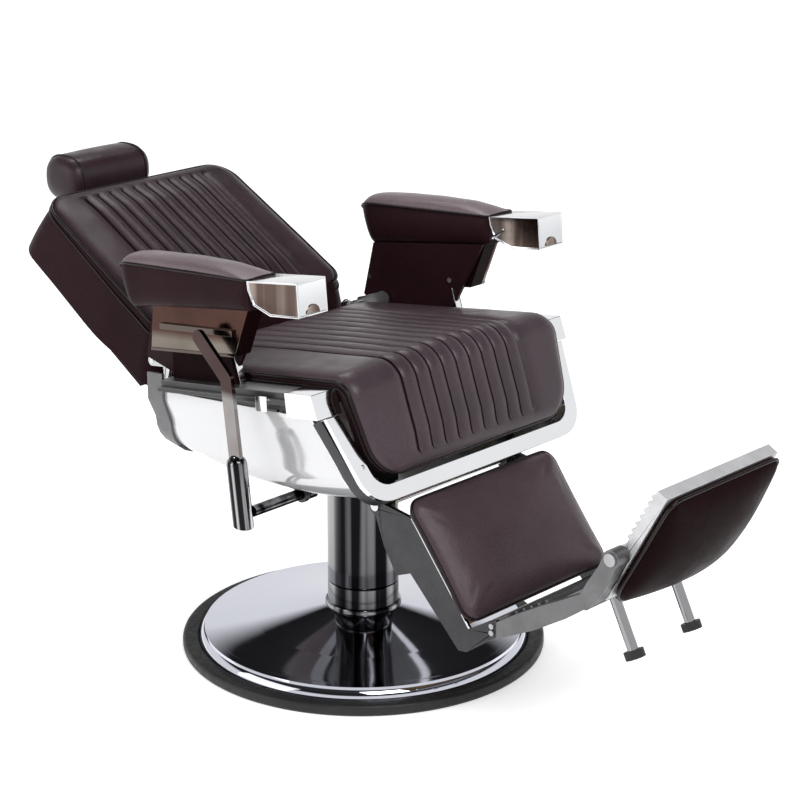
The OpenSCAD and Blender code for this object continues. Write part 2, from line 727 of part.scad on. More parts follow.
// Stations along the roll as [share of the half width, share of the section]
head_stations = [[-1, 0.8], [-0.985, 0.9], [-0.95, 0.97], [-0.7, 1], [-0.3, 1.02],
    [0.3, 1.02], [0.7, 1], [0.95, 0.97], [0.985, 0.9], [1, 0.8]];

module headrest_cushion() color("#41383d") on_back() difference() {
    translate([0, head_y, head_z]) rotate([90 - back_angle, 0, 0]) skin([for (st = head_stations)
        [for (a = [0:15:345])
            let (c = cos(a), s = sin(a), k = st[1] * pow(pow(abs(c), 3) + pow(abs(s), 3), -1 / 3))
            [-st[0] * head_half_w, head_w / 2 * k * c, head_h / 2 * k * s]]]);
    translate([-post_half - 0.2, tongue_y - 0.2, head_z - 3.2]) cube([2 * post_half + 0.4, 60, 6.4]);
}

// ---- Pump lever ----

lever_y = -60;
lever_z = tub_floor_h - 14;

module lever_bracket() color("#4a4b4d") difference() {
    side(-222, -212) {
        translate([lever_y, lever_z]) circle(lever_shaft_d / 2 + 6);
        polygon([[lever_y - 14, lever_z - 4], [lever_y + 14, lever_z - 4],
            [lever_y + 14, tub_bottom(lever_y + 14) - 0.06],
            [lever_y - 14, tub_bottom(lever_y - 14) - 0.06]]);
    }
    translate([0, lever_y, lever_z]) x_rod(-400, 0, lever_shaft_d / 2 + pin_gap);
}

module lever_shaft() color("#3a3c3f") translate([0, lever_y, lever_z]) {
    x_rod(-lever_x + lever_tube_d / 2, -190, lever_shaft_d / 2);
    x_rod(-208, -190, lever_shaft_d / 2 + 4);
}

module lever_tube() color("#c9ccd2") difference() {
    hull() {
        translate([-lever_x, lever_y + 18, seat_h - 63]) sphere(lever_tube_d / 2, $fn = 32);
        translate([-lever_x, lever_y + 5, lever_z - 24]) rotate([7, 0, 0])
            cylinder(h = 4, r = lever_tube_d / 2, $fn = 32);
    }
    translate([0, lever_y, lever_z]) x_rod(-lever_x + lever_tube_d / 2, -190, lever_shaft_d / 2);
}

// Centre line of the lever's flat bar as (Y, Z)
lever_line = [[-41.5, seat_h - 61.5], [-22.5, seat_h + 87], [44, seat_h + 147]];

module lever_bar() color("#c9ccd2") difference() {
    side(-lever_x - lever_bar_t / 2, -lever_x + lever_bar_t / 2) for (i = [0, 1])
        let (a = lever_line[i], b = lever_line[i + 1]) {
            translate(a) rotate(atan2(b[1] - a[1], b[0] - a[0])) translate([0, -lever_bar_w / 2])
                square([norm(b - a), lever_bar_w]);
            translate(b) circle(lever_bar_w / 2);
        }
    translate([-lever_x, lever_y + 18, seat_h - 63]) sphere(lever_tube_d / 2, $fn = 32);
}

// ---- Calf rest ----

calf_m = 67.3;

module calf_plates() color("#77787b") difference() {
    at_calf() both_sides(plate_in, plate_out) {
        circle(calf_shaft_d / 2 + 8);
        polygon([[12, 12], [-84, -2], [-216, -167], [-254, -144], [-276, -134], [-276, -165], [-210, -212],
            [-192, -214], [-81, -104], [-48, -117], [-19, -69]]);
    }
    at_calf() x_rod(-400, 400, calf_shaft_d / 2 + pin_gap);
    clip_pins(0);
}

module calf_tubes() color("#4a4b4d") at_calf() for (p = [[-62, -75], [-196, -196]])
    translate([0, p[0], p[1]]) x_rod(-plate_in, plate_in, 11);

module calf_board() color("#b08a5a") on_calf()
    translate([-plate_in, -calf_m, -257]) cube([2 * plate_in, board_t, 200]);

calf_pad_top = 39;

// Stations down the calf pad as [distance down, distance to the nearer end]
calf_stations = concat(
    [for (e = [0, 5, 15, 30, 48]) [calf_pad_top + e, e]],
    [for (z = [0.35, 0.5, 0.65]) [calf_pad_top + calf_pad_l * z, 99]],
    [for (e = [48, 30, 15, 5, 0]) [calf_pad_top + calf_pad_l - e, e]]);

module calf_pad() color("#48424a") on_calf() skin([for (st = calf_stations)
    let (
        roll = draw_in(st[1], 14),
        half = calf_half_w - draw_in(st[1], 26),
        ring = pad_ring(half, calf_pad_t - roll, calf_crown * min(1, st[1] / 48), 14, 0, 0, 0)
    )
    [for (p = ring) [p[0], -calf_m - 0.3 - p[1], -st[0]]]]);

// ---- Tray ----

// Side bars of the tray, measured from the calf hinge as (Y, Z)
tray_start = -276.3;
tray_top = [[tray_start, -137], [-317, -111], [-369, -81], [-421, -53], [-451, -36], [-465, -11], [-486, 21],
    [-495, 40]];
tray_low = [[-527, 40], [-507, -4], [-482, -44], [-422, -88], [-358, -127], [tray_start, -168]];
tray_in = foot_half_w + move_gap;
tray_out = plate_out;
tongue_t = 12;
rib_pitch = 16;
leg_top = [calf_hinge_y + 438.5, calf_hinge_z - 67];
leg_bar_r = 10;

module tray() color("#9b9da0") difference() {
    union() {
        at_calf() {
            both_sides(tray_in, tray_out) polygon(concat(tray_top, tray_low));
            both_sides(plate_in - tongue_t, plate_in)
                polygon([[tray_start - 18, -158], [tray_start - 18, -128], [tray_start, -138],
                    [tray_start + 18, -146], [tray_start + 18, -166], [tray_start, -165]]);
            side(-tray_in, tray_in) tread();
        }
        translate([0, -foot_pivot[0], foot_pivot[1]]) both_sides(tray_in, tray_out) circle(16);
        translate([0, -leg_top[0], leg_top[1]]) x_rod(-tray_in, tray_in, leg_bar_r);
    }
    clip_pins(0);
    for (s = [-1, 1]) leg_line(s) translate([0, 0, -leg_bar_r - 5]) cylinder(h = 100, r = leg_d / 2);
    translate([0, -foot_pivot[0], foot_pivot[1]]) x_rod(-400, 400, foot_pin_d / 2);
}

// Sloping tread between the side bars, with ribs across it
module tread() {
    polygon([[-384, -75], [-276, -140], [-230, -163], [-230, -171], [-276, -148], [-384, -83]]);
    for (i = [0:5]) translate([-284 - rib_pitch * i, -134 + rib_pitch * 0.6 * i]) rotate(-30) square([6, 6]);
}

// Pins that join the tray to the side plates, with a head outside
module clip_pins(head) for (s = [0, 1], z = [-159, -147])
    mirror([s, 0, 0]) at_calf() translate([0, tray_start + 9.3, z]) {
        x_rod(plate_in - tongue_t, plate_out, 3.5);
        x_rod(plate_out, plate_out + head + eps, 5);
    }

module tray_clips() color("#e6e6e6") clip_pins(3);

// Places children at the top of a stabiliser leg, with -Z down the leg
module leg_line(s) translate([s * leg_gap / 2, -leg_top[0], leg_top[1]]) rotate([-26.6, 0, 0]) children();

module legs() color("#d5d7da") for (s = [-1, 1])
    leg_line(s) translate([0, 0, -leg_l]) cylinder(h = leg_l + 4, r = leg_d / 2);

module leg_tips() color("#1c1c1d") for (s = [-1, 1])
    leg_line(s) translate([0, 0, -leg_l - 14]) cylinder(h = 14, r = leg_d / 2 + 8);

// ---- Flip footrest ----

module footrest_pins() color("silver")
    translate([0, -foot_pivot[0], foot_pivot[1]]) for (s = [0, 1]) mirror([s, 0, 0]) {
        x_rod(foot_half_w - 20, tray_out + 2, foot_pin_d / 2);
        x_rod(tray_out, tray_out + 4, foot_pin_d / 2 + 5);
    }

module footrest_frame() color("#c5c7ca") difference() {
    on_foot() {
        side(-foot_half_w, foot_half_w) {
            translate([-17, -foot_down + 6]) square([foot_plate_t, foot_down + foot_up - 6]);
            circle(15);
            for (i = [0:foot_ridges - 1]) translate([4, 30 + 15 * i]) polygon([[0, 0], [7, 3], [0, 12]]);
        }
    }
    translate([0, -foot_pivot[0], foot_pivot[1]]) x_rod(-400, 400, foot_pin_d / 2 + pin_gap);
}

// Stations up the footrest pad as [height, distance to the nearer end]
foot_stations = concat(
    [for (e = [0, 5, 14, 28, 46, 70]) [e - foot_down, e]],
    [for (z = [0, 40]) [z, 99]],
    [for (e = [70, 46, 28, 14, 5, 0]) [foot_up - e, e]]);

module footrest_pad() color("#1a1210") on_foot() skin([for (st = foot_stations)
    let (
        roll = draw_in(st[1], 14),
        half = foot_half_w - draw_in(st[1], st[0] < 0 ? 46 : 24),
        ring = pad_ring(half, 18 - roll, foot_crown * pow(min(1, st[1] / 99), 0.7), 12, 0, 0, 0)
    )
    [for (p = ring) [p[0], -17.3 - p[1], st[0]]]]);

base_plate();
base_ring();
base_dome();
base_bolts();
column_collar();
pump_cylinder();
gland_nut();
piston();
piston_rod();
swivel_hub();
column_shroud();
seat_frame();
calf_hinge_shaft();
tub_shell();
front_frame();
rear_frame();
side_rail_l();
side_rail_r();
rail_cap_l();
rail_cap_r();
shell_brackets();
seat_board();
seat_cushion();
arm_box_l();
arm_box_r();
arm_core_l();
arm_core_r();
arm_pad_l();
arm_pad_r();
arm_panel_l();
arm_panel_r();
trim_bar_l();
trim_bar_r();
inner_panel_l();
inner_panel_r();
panel_screws();
hinge_straps();
hinge_pins();
back_arms();
back_board();
back_cushion();
headrest_socket();
headrest_post();
headrest_cushion();
lever_bracket();
lever_shaft();
lever_tube();
lever_bar();
calf_plates();
calf_tubes();
calf_board();
calf_pad();
tray();
tray_clips();
legs();
leg_tips();
footrest_pins();
footrest_frame();
footrest_pad();
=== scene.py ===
import json
import math
import bmesh
import bpy
import numpy as np
from mathutils import Matrix, Vector

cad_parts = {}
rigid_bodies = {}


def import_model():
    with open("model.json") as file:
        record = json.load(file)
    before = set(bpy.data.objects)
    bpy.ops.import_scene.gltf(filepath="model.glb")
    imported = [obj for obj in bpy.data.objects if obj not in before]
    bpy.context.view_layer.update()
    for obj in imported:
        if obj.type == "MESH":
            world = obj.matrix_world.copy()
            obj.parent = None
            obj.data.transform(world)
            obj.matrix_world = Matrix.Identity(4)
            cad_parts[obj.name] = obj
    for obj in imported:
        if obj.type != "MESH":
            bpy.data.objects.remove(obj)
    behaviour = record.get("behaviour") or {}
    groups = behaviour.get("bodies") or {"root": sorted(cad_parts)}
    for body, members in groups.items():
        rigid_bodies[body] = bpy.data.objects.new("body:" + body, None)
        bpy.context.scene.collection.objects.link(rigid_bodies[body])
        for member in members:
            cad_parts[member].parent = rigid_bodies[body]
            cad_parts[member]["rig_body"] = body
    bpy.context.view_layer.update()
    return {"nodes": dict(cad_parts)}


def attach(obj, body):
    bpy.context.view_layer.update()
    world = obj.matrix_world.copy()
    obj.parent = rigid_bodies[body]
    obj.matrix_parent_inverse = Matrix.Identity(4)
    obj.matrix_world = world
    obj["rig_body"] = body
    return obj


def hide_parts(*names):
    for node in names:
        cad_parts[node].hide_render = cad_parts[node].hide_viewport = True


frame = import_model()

scene = bpy.context.scene
scene.view_settings.view_transform = "Standard"
NODES = frame["nodes"]
SIDES = ((1, "l"), (-1, "r"))

# Sizes in millimetres and places as (Y, Z), as in the CAD: the sitter faces -Y.
SEAT_H = 515.0
SEAT_TILT = math.radians(8)
BACK_HINGE, BACK_TILT = (345, 556), math.radians(60.7)
CALF_HINGE, CALF_TILT = (-206, 372), math.radians(38)
FOOT_HINGE, FOOT_TILT = (-717, 412), math.radians(-29.2)
FRAME_TOP, FRAME_TILT = (-206, 577), math.radians(28.6)
TUB_HALF, TUB_LOW_HALF, TUB_ROUND, TUB_FLOOR = 309, 292, 62, 381
ARM_X = 309


# ---- Camera, light and floor ----

camera_data = bpy.data.cameras.new("camera")
camera_data.sensor_width = 36
camera_data.lens = 103.77
camera = bpy.data.objects.new("camera", camera_data)
camera.location = (-2.89137, -2.77188, 1.78691)
camera.rotation_euler = [math.radians(a) for a in (71.852, 0, -47.193)]
scene.collection.objects.link(camera)
scene.camera = camera


def area_lamp(name, place, target, size, power):
    data = bpy.data.lights.new(name, "AREA")
    data.shape = "RECTANGLE"
    data.size, data.size_y = size
    data.energy = power
    lamp = bpy.data.objects.new(name, data)
    lamp.location = place
    lamp.rotation_euler = (Vector(target) - Vector(place)).to_track_quat("-Z", "Y").to_euler()
    scene.collection.objects.link(lamp)


area_lamp("key", (-1.0, -2.4, 3.0), (0, -0.1, 0.4), (2.2, 1.4), 80)
area_lamp("side", (-3.4, 1.7, 1.7), (0, 0, 0.3), (3.0, 2.4), 36)
area_lamp("back", (0.7, 1.6, 3.6), (0, 0.1, 0.5), (2.2, 1.2), 50)

world = bpy.data.worlds.new("world")
scene.world = world
world.use_nodes = True


def link(tree, source, target):
    tree.links.new(source, target)


def larger(tree, a, b):
    node = tree.nodes.new("ShaderNodeMath")
    node.operation = "MAXIMUM"
    link(tree, a, node.inputs[0])
    link(tree, b, node.inputs[1])
    return node.outputs[0]


def world_nodes():
    """White for the camera and in mirrors near the horizon, a dark ceiling in mirrors, soft grey light."""
    tree = world.node_tree
    nodes = tree.nodes
    nodes.clear()
    out = nodes.new("ShaderNodeOutputWorld")
    path = nodes.new("ShaderNodeLightPath")
    light = nodes.new("ShaderNodeBackground")
    light.inputs["Color"].default_value = (0.97, 0.98, 1.0, 1)
    light.inputs["Strength"].default_value = 0.55
    shown = nodes.new("ShaderNodeBackground")
    shown.inputs["Strength"].default_value = 1.0
    direction = nodes.new("ShaderNodeTexCoord")
    split = nodes.new("ShaderNodeSeparateXYZ")
    link(tree, direction.outputs["Generated"], split.inputs[0])
    ramp = nodes.new("ShaderNodeValToRGB")
    points = ramp.color_ramp.elements
    points[0].position, points[0].color = 0.4, (1, 1, 1, 1)
    points[1].position, points[1].color = 0.5, (0.012, 0.012, 0.013, 1)
    last = points.new(0.92)
    last.color = (0.045, 0.045, 0.047, 1)
    link(tree, split.outputs["Z"], ramp.inputs[0])
    pick = nodes.new("ShaderNodeMix")
    pick.data_type = "RGBA"
    pick.inputs["B"].default_value = (1, 1, 1, 1)
    link(tree, path.outputs["Is Camera Ray"], pick.inputs["Factor"])
    link(tree, ramp.outputs["Color"], pick.inputs["A"])
    link(tree, pick.outputs["Result"], shown.inputs["Color"])
    seen = larger(tree, path.outputs["Is Camera Ray"], path.outputs["Is Glossy Ray"])
    seen = larger(tree, seen, path.outputs["Is Transmission Ray"])
    mix = nodes.new("ShaderNodeMixShader")
    link(tree, seen, mix.inputs[0])
    link(tree, light.outputs[0], mix.inputs[1])
    link(tree, shown.outputs[0], mix.inputs[2])
    link(tree, mix.outputs[0], out.inputs[0])


def floor_material():
    """White floor that keeps the object's shadow."""
    m = bpy.data.materials.new("floor")
    m.use_nodes = True
    tree = m.node_tree
    nodes = tree.nodes
    bsdf = nodes["Principled BSDF"]
    bsdf.inputs["Base Color"].default_value = (0.8, 0.8, 0.8, 1)
    bsdf.inputs["Roughness"].default_value = 0.9
    bsdf.inputs["Specular IOR Level"].default_value = 0.1
    glow = nodes.new("ShaderNodeEmission")
    path = nodes.new("ShaderNodeLightPath")
    seen = larger(tree, path.outputs["Is Camera Ray"], path.outputs["Is Glossy Ray"])
    level = nodes.new("ShaderNodeMath")
    level.operation = "MULTIPLY"
    level.inputs[1].default_value = 0.58
    link(tree, seen, level.inputs[0])
    link(tree, level.outputs[0], glow.inputs["Strength"])
    add = nodes.new("ShaderNodeAddShader")
    link(tree, bsdf.outputs[0], add.inputs[0])
    link(tree, glow.outputs[0], add.inputs[1])
    link(tree, add.outputs[0], nodes["Material Output"].inputs["Surface"])
    return m


world_nodes()
floor_mesh = bpy.data.meshes.new("floor")
floor_mesh.from_pydata([(-12, -12, 0), (12, -12, 0), (12, 12, 0), (-12, 12, 0)], [], [(0, 1, 2, 3)])
floor = bpy.data.objects.new("floor", floor_mesh)
scene.collection.objects.link(floor)
floor_mesh.materials.append(floor_material())


# ---- Materials ----


class Shader:
    """A material with its Principled shader and short calls for the nodes that feed it."""

    def __init__(self, name):
        self.material = bpy.data.materials.new(name)
        self.material.use_nodes = True
        self.tree = self.material.node_tree
        self.bsdf = self.tree.nodes["Principled BSDF"]
        self.place = self.tree.nodes.new("ShaderNodeTexCoord").outputs["Object"]

    def set(self, **values):
        for key, value in values.items():
            self.bsdf.inputs[key.replace("_", " ")].default_value = value
        return self

    def stretched(self, scale, lean=0.0):
        """Object place scaled for stretched grain, after turning by 'lean' degrees about X."""
        node = self.tree.nodes.new("ShaderNodeMapping")
        node.vector_type = "TEXTURE"
        node.inputs["Scale"].default_value = [1 / k for k in scale]
        node.inputs["Rotation"].default_value = (math.radians(lean), 0, 0)
        link(self.tree, self.place, node.inputs["Vector"])
        return node.outputs["Vector"]

    def noise(self, scale, detail=3.0, rough=0.5, vector=None):
        node = self.tree.nodes.new("ShaderNodeTexNoise")
        node.inputs["Scale"].default_value = scale
        node.inputs["Detail"].default_value = detail
        node.inputs["Roughness"].default_value = rough
        link(self.tree, vector or self.place, node.inputs["Vector"])
        return node.outputs["Fac"]

    def voronoi(self, scale, feature="F1", output="Distance"):
        node = self.tree.nodes.new("ShaderNodeTexVoronoi")
        node.feature = feature
        node.inputs["Scale"].default_value = scale
        link(self.tree, self.place, node.inputs["Vector"])
        return node.outputs[output]

    def ramp(self, source, low, high, start=0.3, end=0.7):
        node = self.tree.nodes.new("ShaderNodeValToRGB")
        a, b = node.color_ramp.elements
        a.position, a.color = start, (*low, 1)
        b.position, b.color = end, (*high, 1)
        link(self.tree, source, node.inputs["Fac"])
        return node.outputs["Color"]

    def range(self, source, low, high, start=0.3, end=0.7):
        node = self.tree.nodes.new("ShaderNodeMapRange")
        node.inputs["From Min"].default_value = start
        node.inputs["From Max"].default_value = end
        node.inputs["To Min"].default_value = low
        node.inputs["To Max"].default_value = high
        link(self.tree, source, node.inputs["Value"])
        return node.outputs["Result"]

    def multiply(self, a, b, share=1.0):
        node = self.tree.nodes.new("ShaderNodeMix")
        node.data_type = "RGBA"
        node.blend_type = "MULTIPLY"
        node.inputs["Factor"].default_value = share
        link(self.tree, a, node.inputs["A"])
        link(self.tree, b, node.inputs["B"])
        return node.outputs["Result"]

    def bump(self, source, strength, distance, under=None):
        node = self.tree.nodes.new("ShaderNodeBump")
        node.inputs["Strength"].default_value = strength
        node.inputs["Distance"].default_value = distance
        link(self.tree, source, node.inputs["Height"])
        if under is not None:
            link(self.tree, under, node.inputs["Normal"])
        return node.outputs["Normal"]

    def colour(self, source):
        link(self.tree, source, self.bsdf.inputs["Base Color"])

    def roughness(self, source):
        link(self.tree, source, self.bsdf.inputs["Roughness"])

    def normal(self, source):
        link(self.tree, source, self.bsdf.inputs["Normal"])


def scaled(colour, k):
    return tuple(min(c * k, 1.0) for c in colour)


def leather(name, colour, rough=(0.3, 0.42), grain=0.35, coat=0.03, shine=0.3):
    s = Shader(name).set(Metallic=0.0, Coat_Weight=coat, Coat_Roughness=0.25, Specular_IOR_Level=shine)
    pebble = s.voronoi(560)
    tone = s.ramp(s.noise(7, 4), scaled(colour, 0.84), scaled(colour, 1.16))
    pores = s.ramp(pebble, (1, 1, 1), (0.72, 0.7, 0.7), 0.25, 0.75)
    s.colour(s.multiply(tone, pores))
    s.roughness(s.range(s.noise(26, 3), *rough))
    creases = s.bump(s.noise(48, 5, 0.6), 0.22, 0.0022)
    fine = s.bump(s.noise(1900, 2), 0.12, 0.0003, creases)
    s.normal(s.bump(pebble, grain, 0.0005, fine))
    return s.material


def metal(name, colour, rough=(0.05, 0.1), wave=0.05, stretch=None, scratch=0.04):
    s = Shader(name).set(Metallic=1.0)
    s.colour(s.ramp(s.noise(5, 3), scaled(colour, 0.95), colour))
    lines = s.noise(60, 4, 0.6, s.stretched(stretch)) if stretch else s.noise(90, 5, 0.65)
    s.roughness(s.range(lines, *rough))
    soft = s.bump(s.noise(9, 1), wave, 0.002)
    s.normal(s.bump(s.noise(1500, 2), scratch, 0.00008, soft))
    return s.material


def reflection_streaked(name, dark, bright, rough=(0.08, 0.14), scale=26, lean=0.0, dark_share=0.42):
    """Round bright metal whose colour runs in upright dark and bright streaks, painted reflections that stand
    in for mirrored highlights.
    """
    s = Shader(name).set(Metallic=1.0)
    painted_streak = s.noise(1.0, 2, 0.45, s.stretched((scale, scale, 0.25), lean))
    s.colour(s.ramp(painted_streak, dark, bright, dark_share, dark_share + 0.16))
    s.roughness(s.range(s.noise(70, 4), *rough))
    s.normal(s.bump(s.noise(1500, 2), 0.04, 0.00008))
    return s.material


def cast_metal(name, colour, rough=(0.34, 0.48), metallic=0.9):
    s = Shader(name).set(Metallic=metallic)
    s.colour(s.ramp(s.noise(22, 5), scaled(colour, 0.86), scaled(colour, 1.1)))
    s.roughness(s.range(s.noise(130, 4), *rough))
    s.normal(s.bump(s.noise(900, 3), 0.25, 0.0003, s.bump(s.voronoi(260), 0.12, 0.0004)))
    return s.material


def paint(name, colour, rough=(0.12, 0.2), coat=0.4, peel=0.06, metallic=0.0):
    s = Shader(name).set(Metallic=metallic, Coat_Weight=coat, Coat_Roughness=0.08)
    s.colour(s.ramp(s.noise(4, 2), scaled(colour, 0.97), colour))
    s.roughness(s.range(s.noise(35, 3), *rough))
    s.normal(s.bump(s.noise(240, 2), peel, 0.0004, s.bump(s.noise(7, 1), 0.04, 0.002)))
    return s.material


def rubber(name, colour):
    s = Shader(name).set(Metallic=0.0, Specular_IOR_Level=0.4)
    s.colour(s.ramp(s.noise(30, 4), scaled(colour, 0.75), scaled(colour, 1.3)))
    s.roughness(s.range(s.noise(90, 3), 0.42, 0.62))
    s.normal(s.bump(s.noise(800, 3), 0.25, 0.0004))
    return s.material


def plywood(name):
    s = Shader(name).set(Metallic=0.0)
    grain = s.noise(16, 6, 0.6, s.stretched((1, 9, 9)))
    s.colour(s.ramp(grain, (0.32, 0.19, 0.09), (0.56, 0.38, 0.2)))
    s.roughness(s.range(grain, 0.5, 0.7))
    s.normal(s.bump(grain, 0.2, 0.0006))
    return s.material


def reflection_band_metal(name, upper, lower, slope, level):
    """Mirror-bright plate whose upper part is a painted brown reflection band, split along a sloping line."""
    s = Shader(name).set(Metallic=1.0)
    split = s.tree.nodes.new("ShaderNodeSeparateXYZ")
    link(s.tree, s.place, split.inputs[0])
    lift = s.tree.nodes.new("ShaderNodeMath")
    lift.operation = "MULTIPLY_ADD"
    lift.inputs[1].default_value = slope
    link(s.tree, split.outputs["Y"], lift.inputs[0])
    link(s.tree, split.outputs["Z"], lift.inputs[2])
    painted_reflection_band = s.ramp(lift.outputs[0], lower, upper, level - 0.012, level + 0.004)
    cloud = s.ramp(s.noise(11, 4), (0.72, 0.68, 0.66), (1, 1, 1))
    s.colour(s.multiply(painted_reflection_band, cloud))
    s.roughness(s.range(s.noise(60, 4), 0.12, 0.22))
    s.normal(s.bump(s.noise(10, 2), 0.1, 0.003))
    return s.material


MATS = {
    "leather": leather("leather", (0.033, 0.0175, 0.022), shine=0.24),
    # seam: near-black leather laid along the seam grooves as painted shade.
    "seam": leather("seam", (0.012, 0.0055, 0.007), (0.4, 0.5), coat=0.0, shine=0.04),
    # Painted lit and shaded copies of the one leather: the seat, arm tops and calf pad lighter where light
    # falls, the sides, arm core and footrest pad darker where shade falls.
    "leather_lit_seat": leather("leather_lit_seat", (0.062, 0.043, 0.051), (0.3, 0.42), coat=0.1, shine=0.22),
    "leather_shaded_side": leather("leather_shaded_side", (0.024, 0.0085, 0.011), (0.36, 0.48), coat=0.0, shine=0.06),
    "leather_lit_top": leather("leather_lit_top", (0.15, 0.112, 0.126), (0.28, 0.38), shine=0.34),
    "leather_lit_calf": leather("leather_lit_calf", (0.07, 0.047, 0.054), (0.3, 0.4), shine=0.2),
    "leather_shaded_dark": leather("leather_shaded_dark", (0.011, 0.0035, 0.004), (0.34, 0.46), coat=0.0, shine=0.02),
    "piping": leather("piping", (0.01, 0.005, 0.0055), (0.24, 0.34), 0.2, 0.02, 0.2),
    "chrome": metal("chrome", (0.78, 0.79, 0.82), (0.03, 0.07)),
    "polished": metal("polished", (0.8, 0.81, 0.83), (0.06, 0.13), 0.06, (1, 5, 1)),
    # dark_chrome and tube_chrome carry painted reflections: upright dark and bright streaks in their colour.
    "dark_chrome": reflection_streaked("dark_chrome", (0.006, 0.006, 0.007), (0.3, 0.3, 0.31)),
    "tube_chrome": reflection_streaked("tube_chrome", (0.012, 0.012, 0.013), (0.62, 0.62, 0.64), (0.05, 0.1),
                            scale=75, lean=-7.0, dark_share=0.5),
    "dome_chrome": metal("dome_chrome", (0.6, 0.61, 0.68), (0.03, 0.07)),
    "leg_chrome": metal("leg_chrome", (0.3, 0.3, 0.31), (0.08, 0.14)),
    "trim": metal("trim", (0.1, 0.08, 0.07), (0.12, 0.2)),
    # Dark brown streaked metal of the arm box windows and notch: painted shade of the recesses and painted
    # brown reflection.
    "recess_shade_reflection": reflection_streaked("recess_shade_reflection", (0.1, 0.068, 0.058), (0.36, 0.3, 0.265), (0.16, 0.26)),
    "box_chrome": metal("box_chrome", (0.74, 0.745, 0.76), (0.08, 0.16), 0.1, (1, 5, 1)),
    "satin": metal("satin", (0.5, 0.5, 0.5), (0.3, 0.4), 0.05, (1, 14, 14)),
    "silver": cast_metal("silver", (0.6, 0.6, 0.61), (0.3, 0.4), 0.4),
    "cast": cast_metal("cast", (0.42, 0.42, 0.43)),
    "cast_mid": cast_metal("cast_mid", (0.16, 0.16, 0.163)),
    "cast_dark": cast_metal("cast_dark", (0.055, 0.055, 0.058), (0.24, 0.36)),
    "zinc": metal("zinc", (0.62, 0.62, 0.63), (0.2, 0.32)),
    "white_shell": paint("white_shell", (0.78, 0.78, 0.79), (0.08, 0.14), 0.6, 0.03, 0.35),
    "black_steel": paint("black_steel", (0.02, 0.02, 0.022), (0.28, 0.4), 0.1, 0.12),
    "rubber": rubber("rubber", (0.012, 0.012, 0.0125)),
    "plywood": plywood("plywood"),
    # arm_plate and lever_steel: the brown or reddish upper band in their colour is a painted reflection.
    "arm_plate": reflection_band_metal("arm_plate", (0.075, 0.038, 0.03), (0.19, 0.168, 0.142), 0.12, 0.66),
    "lever_steel": reflection_band_metal("lever_steel", (0.07, 0.046, 0.046), (0.3, 0.29, 0.285), 0.0, 0.578),
}


# ---- Mesh helpers, in metres ----


def make_object(name, mesh, body, replaced=(), angle=40):
    mesh.update()
    for p in mesh.polygons:
        p.use_smooth = True
    mesh.set_sharp_from_angle(angle=math.radians(angle))
    ob = bpy.data.objects.new(name, mesh)
    scene.collection.objects.link(ob)
    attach(ob, body)
    if replaced:
        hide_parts(*replaced)
    return ob


def mesh_from(name, points, faces, mats, index=None):
    mesh = bpy.data.meshes.new(name)
    mesh.from_pydata([tuple(p) for p in points], [], [tuple(f) for f in faces])
    for m in mats:
        mesh.materials.append(MATS[m])
    if index is not None:
        mesh.polygons.foreach_set("material_index", index)
    bm = bmesh.new()
    bm.from_mesh(mesh)
    bmesh.ops.recalc_face_normals(bm, faces=bm.faces)
    bm.to_mesh(mesh)
    bm.free()
    return mesh


def loft(name, rings, mats, body, replaced=(), column_mat=None, caps=True, angle=40, cap_mat=0):
    """Closed rings of equally many points, joined into one skin. rings has the shape (rows, columns, 3)."""
    rings = np.asarray(rings, float)
    m, n = rings.shape[:2]
    points = rings.reshape(-1, 3)
    j, i = np.meshgrid(np.arange(m - 1), np.arange(n), indexing="ij")
    k = (i + 1) % n
    faces = np.stack([j * n + i, j * n + k, (j + 1) * n + k, (j + 1) * n + i], -1).reshape(-1, 4).tolist()
    index = (np.asarray(column_mat)[i.ravel()] if column_mat is not None else np.zeros(i.size, int)).tolist()
    if caps:
        points = np.vstack([points, rings[0].mean(0), rings[-1].mean(0)])
        for row, centre in ((0, m * n), (m - 1, m * n + 1)):
            faces += [(centre, row * n + a, row * n + (a + 1) % n) for a in range(n)]
            index += [cap_mat] * n
    mesh = mesh_from(name, points, faces, mats, index)
    return make_object(name, mesh, body, replaced, angle)


def lathe(name, profile, mat, body, replaced=(), sides=192, angle=40):
    """Turns a profile of (radius, height) in millimetres about the chair's centre line."""
    profile = np.asarray(profile, float) / 1000
    a = np.linspace(0, 2 * math.pi, sides, endpoint=False)
    rings = np.stack([np.outer(profile[:, 0], np.cos(a)), np.outer(profile[:, 0], np.sin(a)),
                      np.repeat(profile[:, 1:], sides, 1)], -1)
    return loft(name, rings, [mat], body, replaced, caps=False, angle=angle)


def resample(path, step, closed):
    path = np.asarray(path, float)
    if closed:
        path = np.vstack([path, path[:1]])
    length = np.r_[0, np.cumsum(np.linalg.norm(np.diff(path, axis=0), axis=1))]
    count = max(int(length[-1] / step), 4)
    at = np.linspace(0, length[-1], count + 1)
    out = np.stack([np.interp(at, length, path[:, c]) for c in range(3)], 1)
    return out[:-1] if closed else out


def tube(name, path, radius, mat, body, closed=False, sides=10, step=0.006):
    """Round cord along a path given in metres."""
    path = resample(path, step, closed)
    m = len(path)
    ahead = np.roll(path, -1, 0) - np.roll(path, 1, 0)
    if not closed:
        ahead[0], ahead[-1] = path[1] - path[0], path[-1] - path[-2]
    ahead /= np.linalg.norm(ahead, axis=1)[:, None]
    side = np.cross(ahead[0], (0.3, 0.2, 0.93))
    rings = []
    for k in range(m):
        side = side - ahead[k] * side.dot(ahead[k])
        side /= np.linalg.norm(side)
        up = np.cross(ahead[k], side)
        a = np.linspace(0, 2 * math.pi, sides, endpoint=False)[:, None]
        rings.append(path[k] + radius * (np.cos(a) * side + np.sin(a) * up))
    if closed:
        first = np.asarray(rings[0])
        shift = np.argmin([np.linalg.norm(np.roll(rings[-1], -s, 0) - first) for s in range(sides)])
        rings.append(np.roll(first, shift, 0))
    return loft(name, rings, [mat], body, caps=not closed)


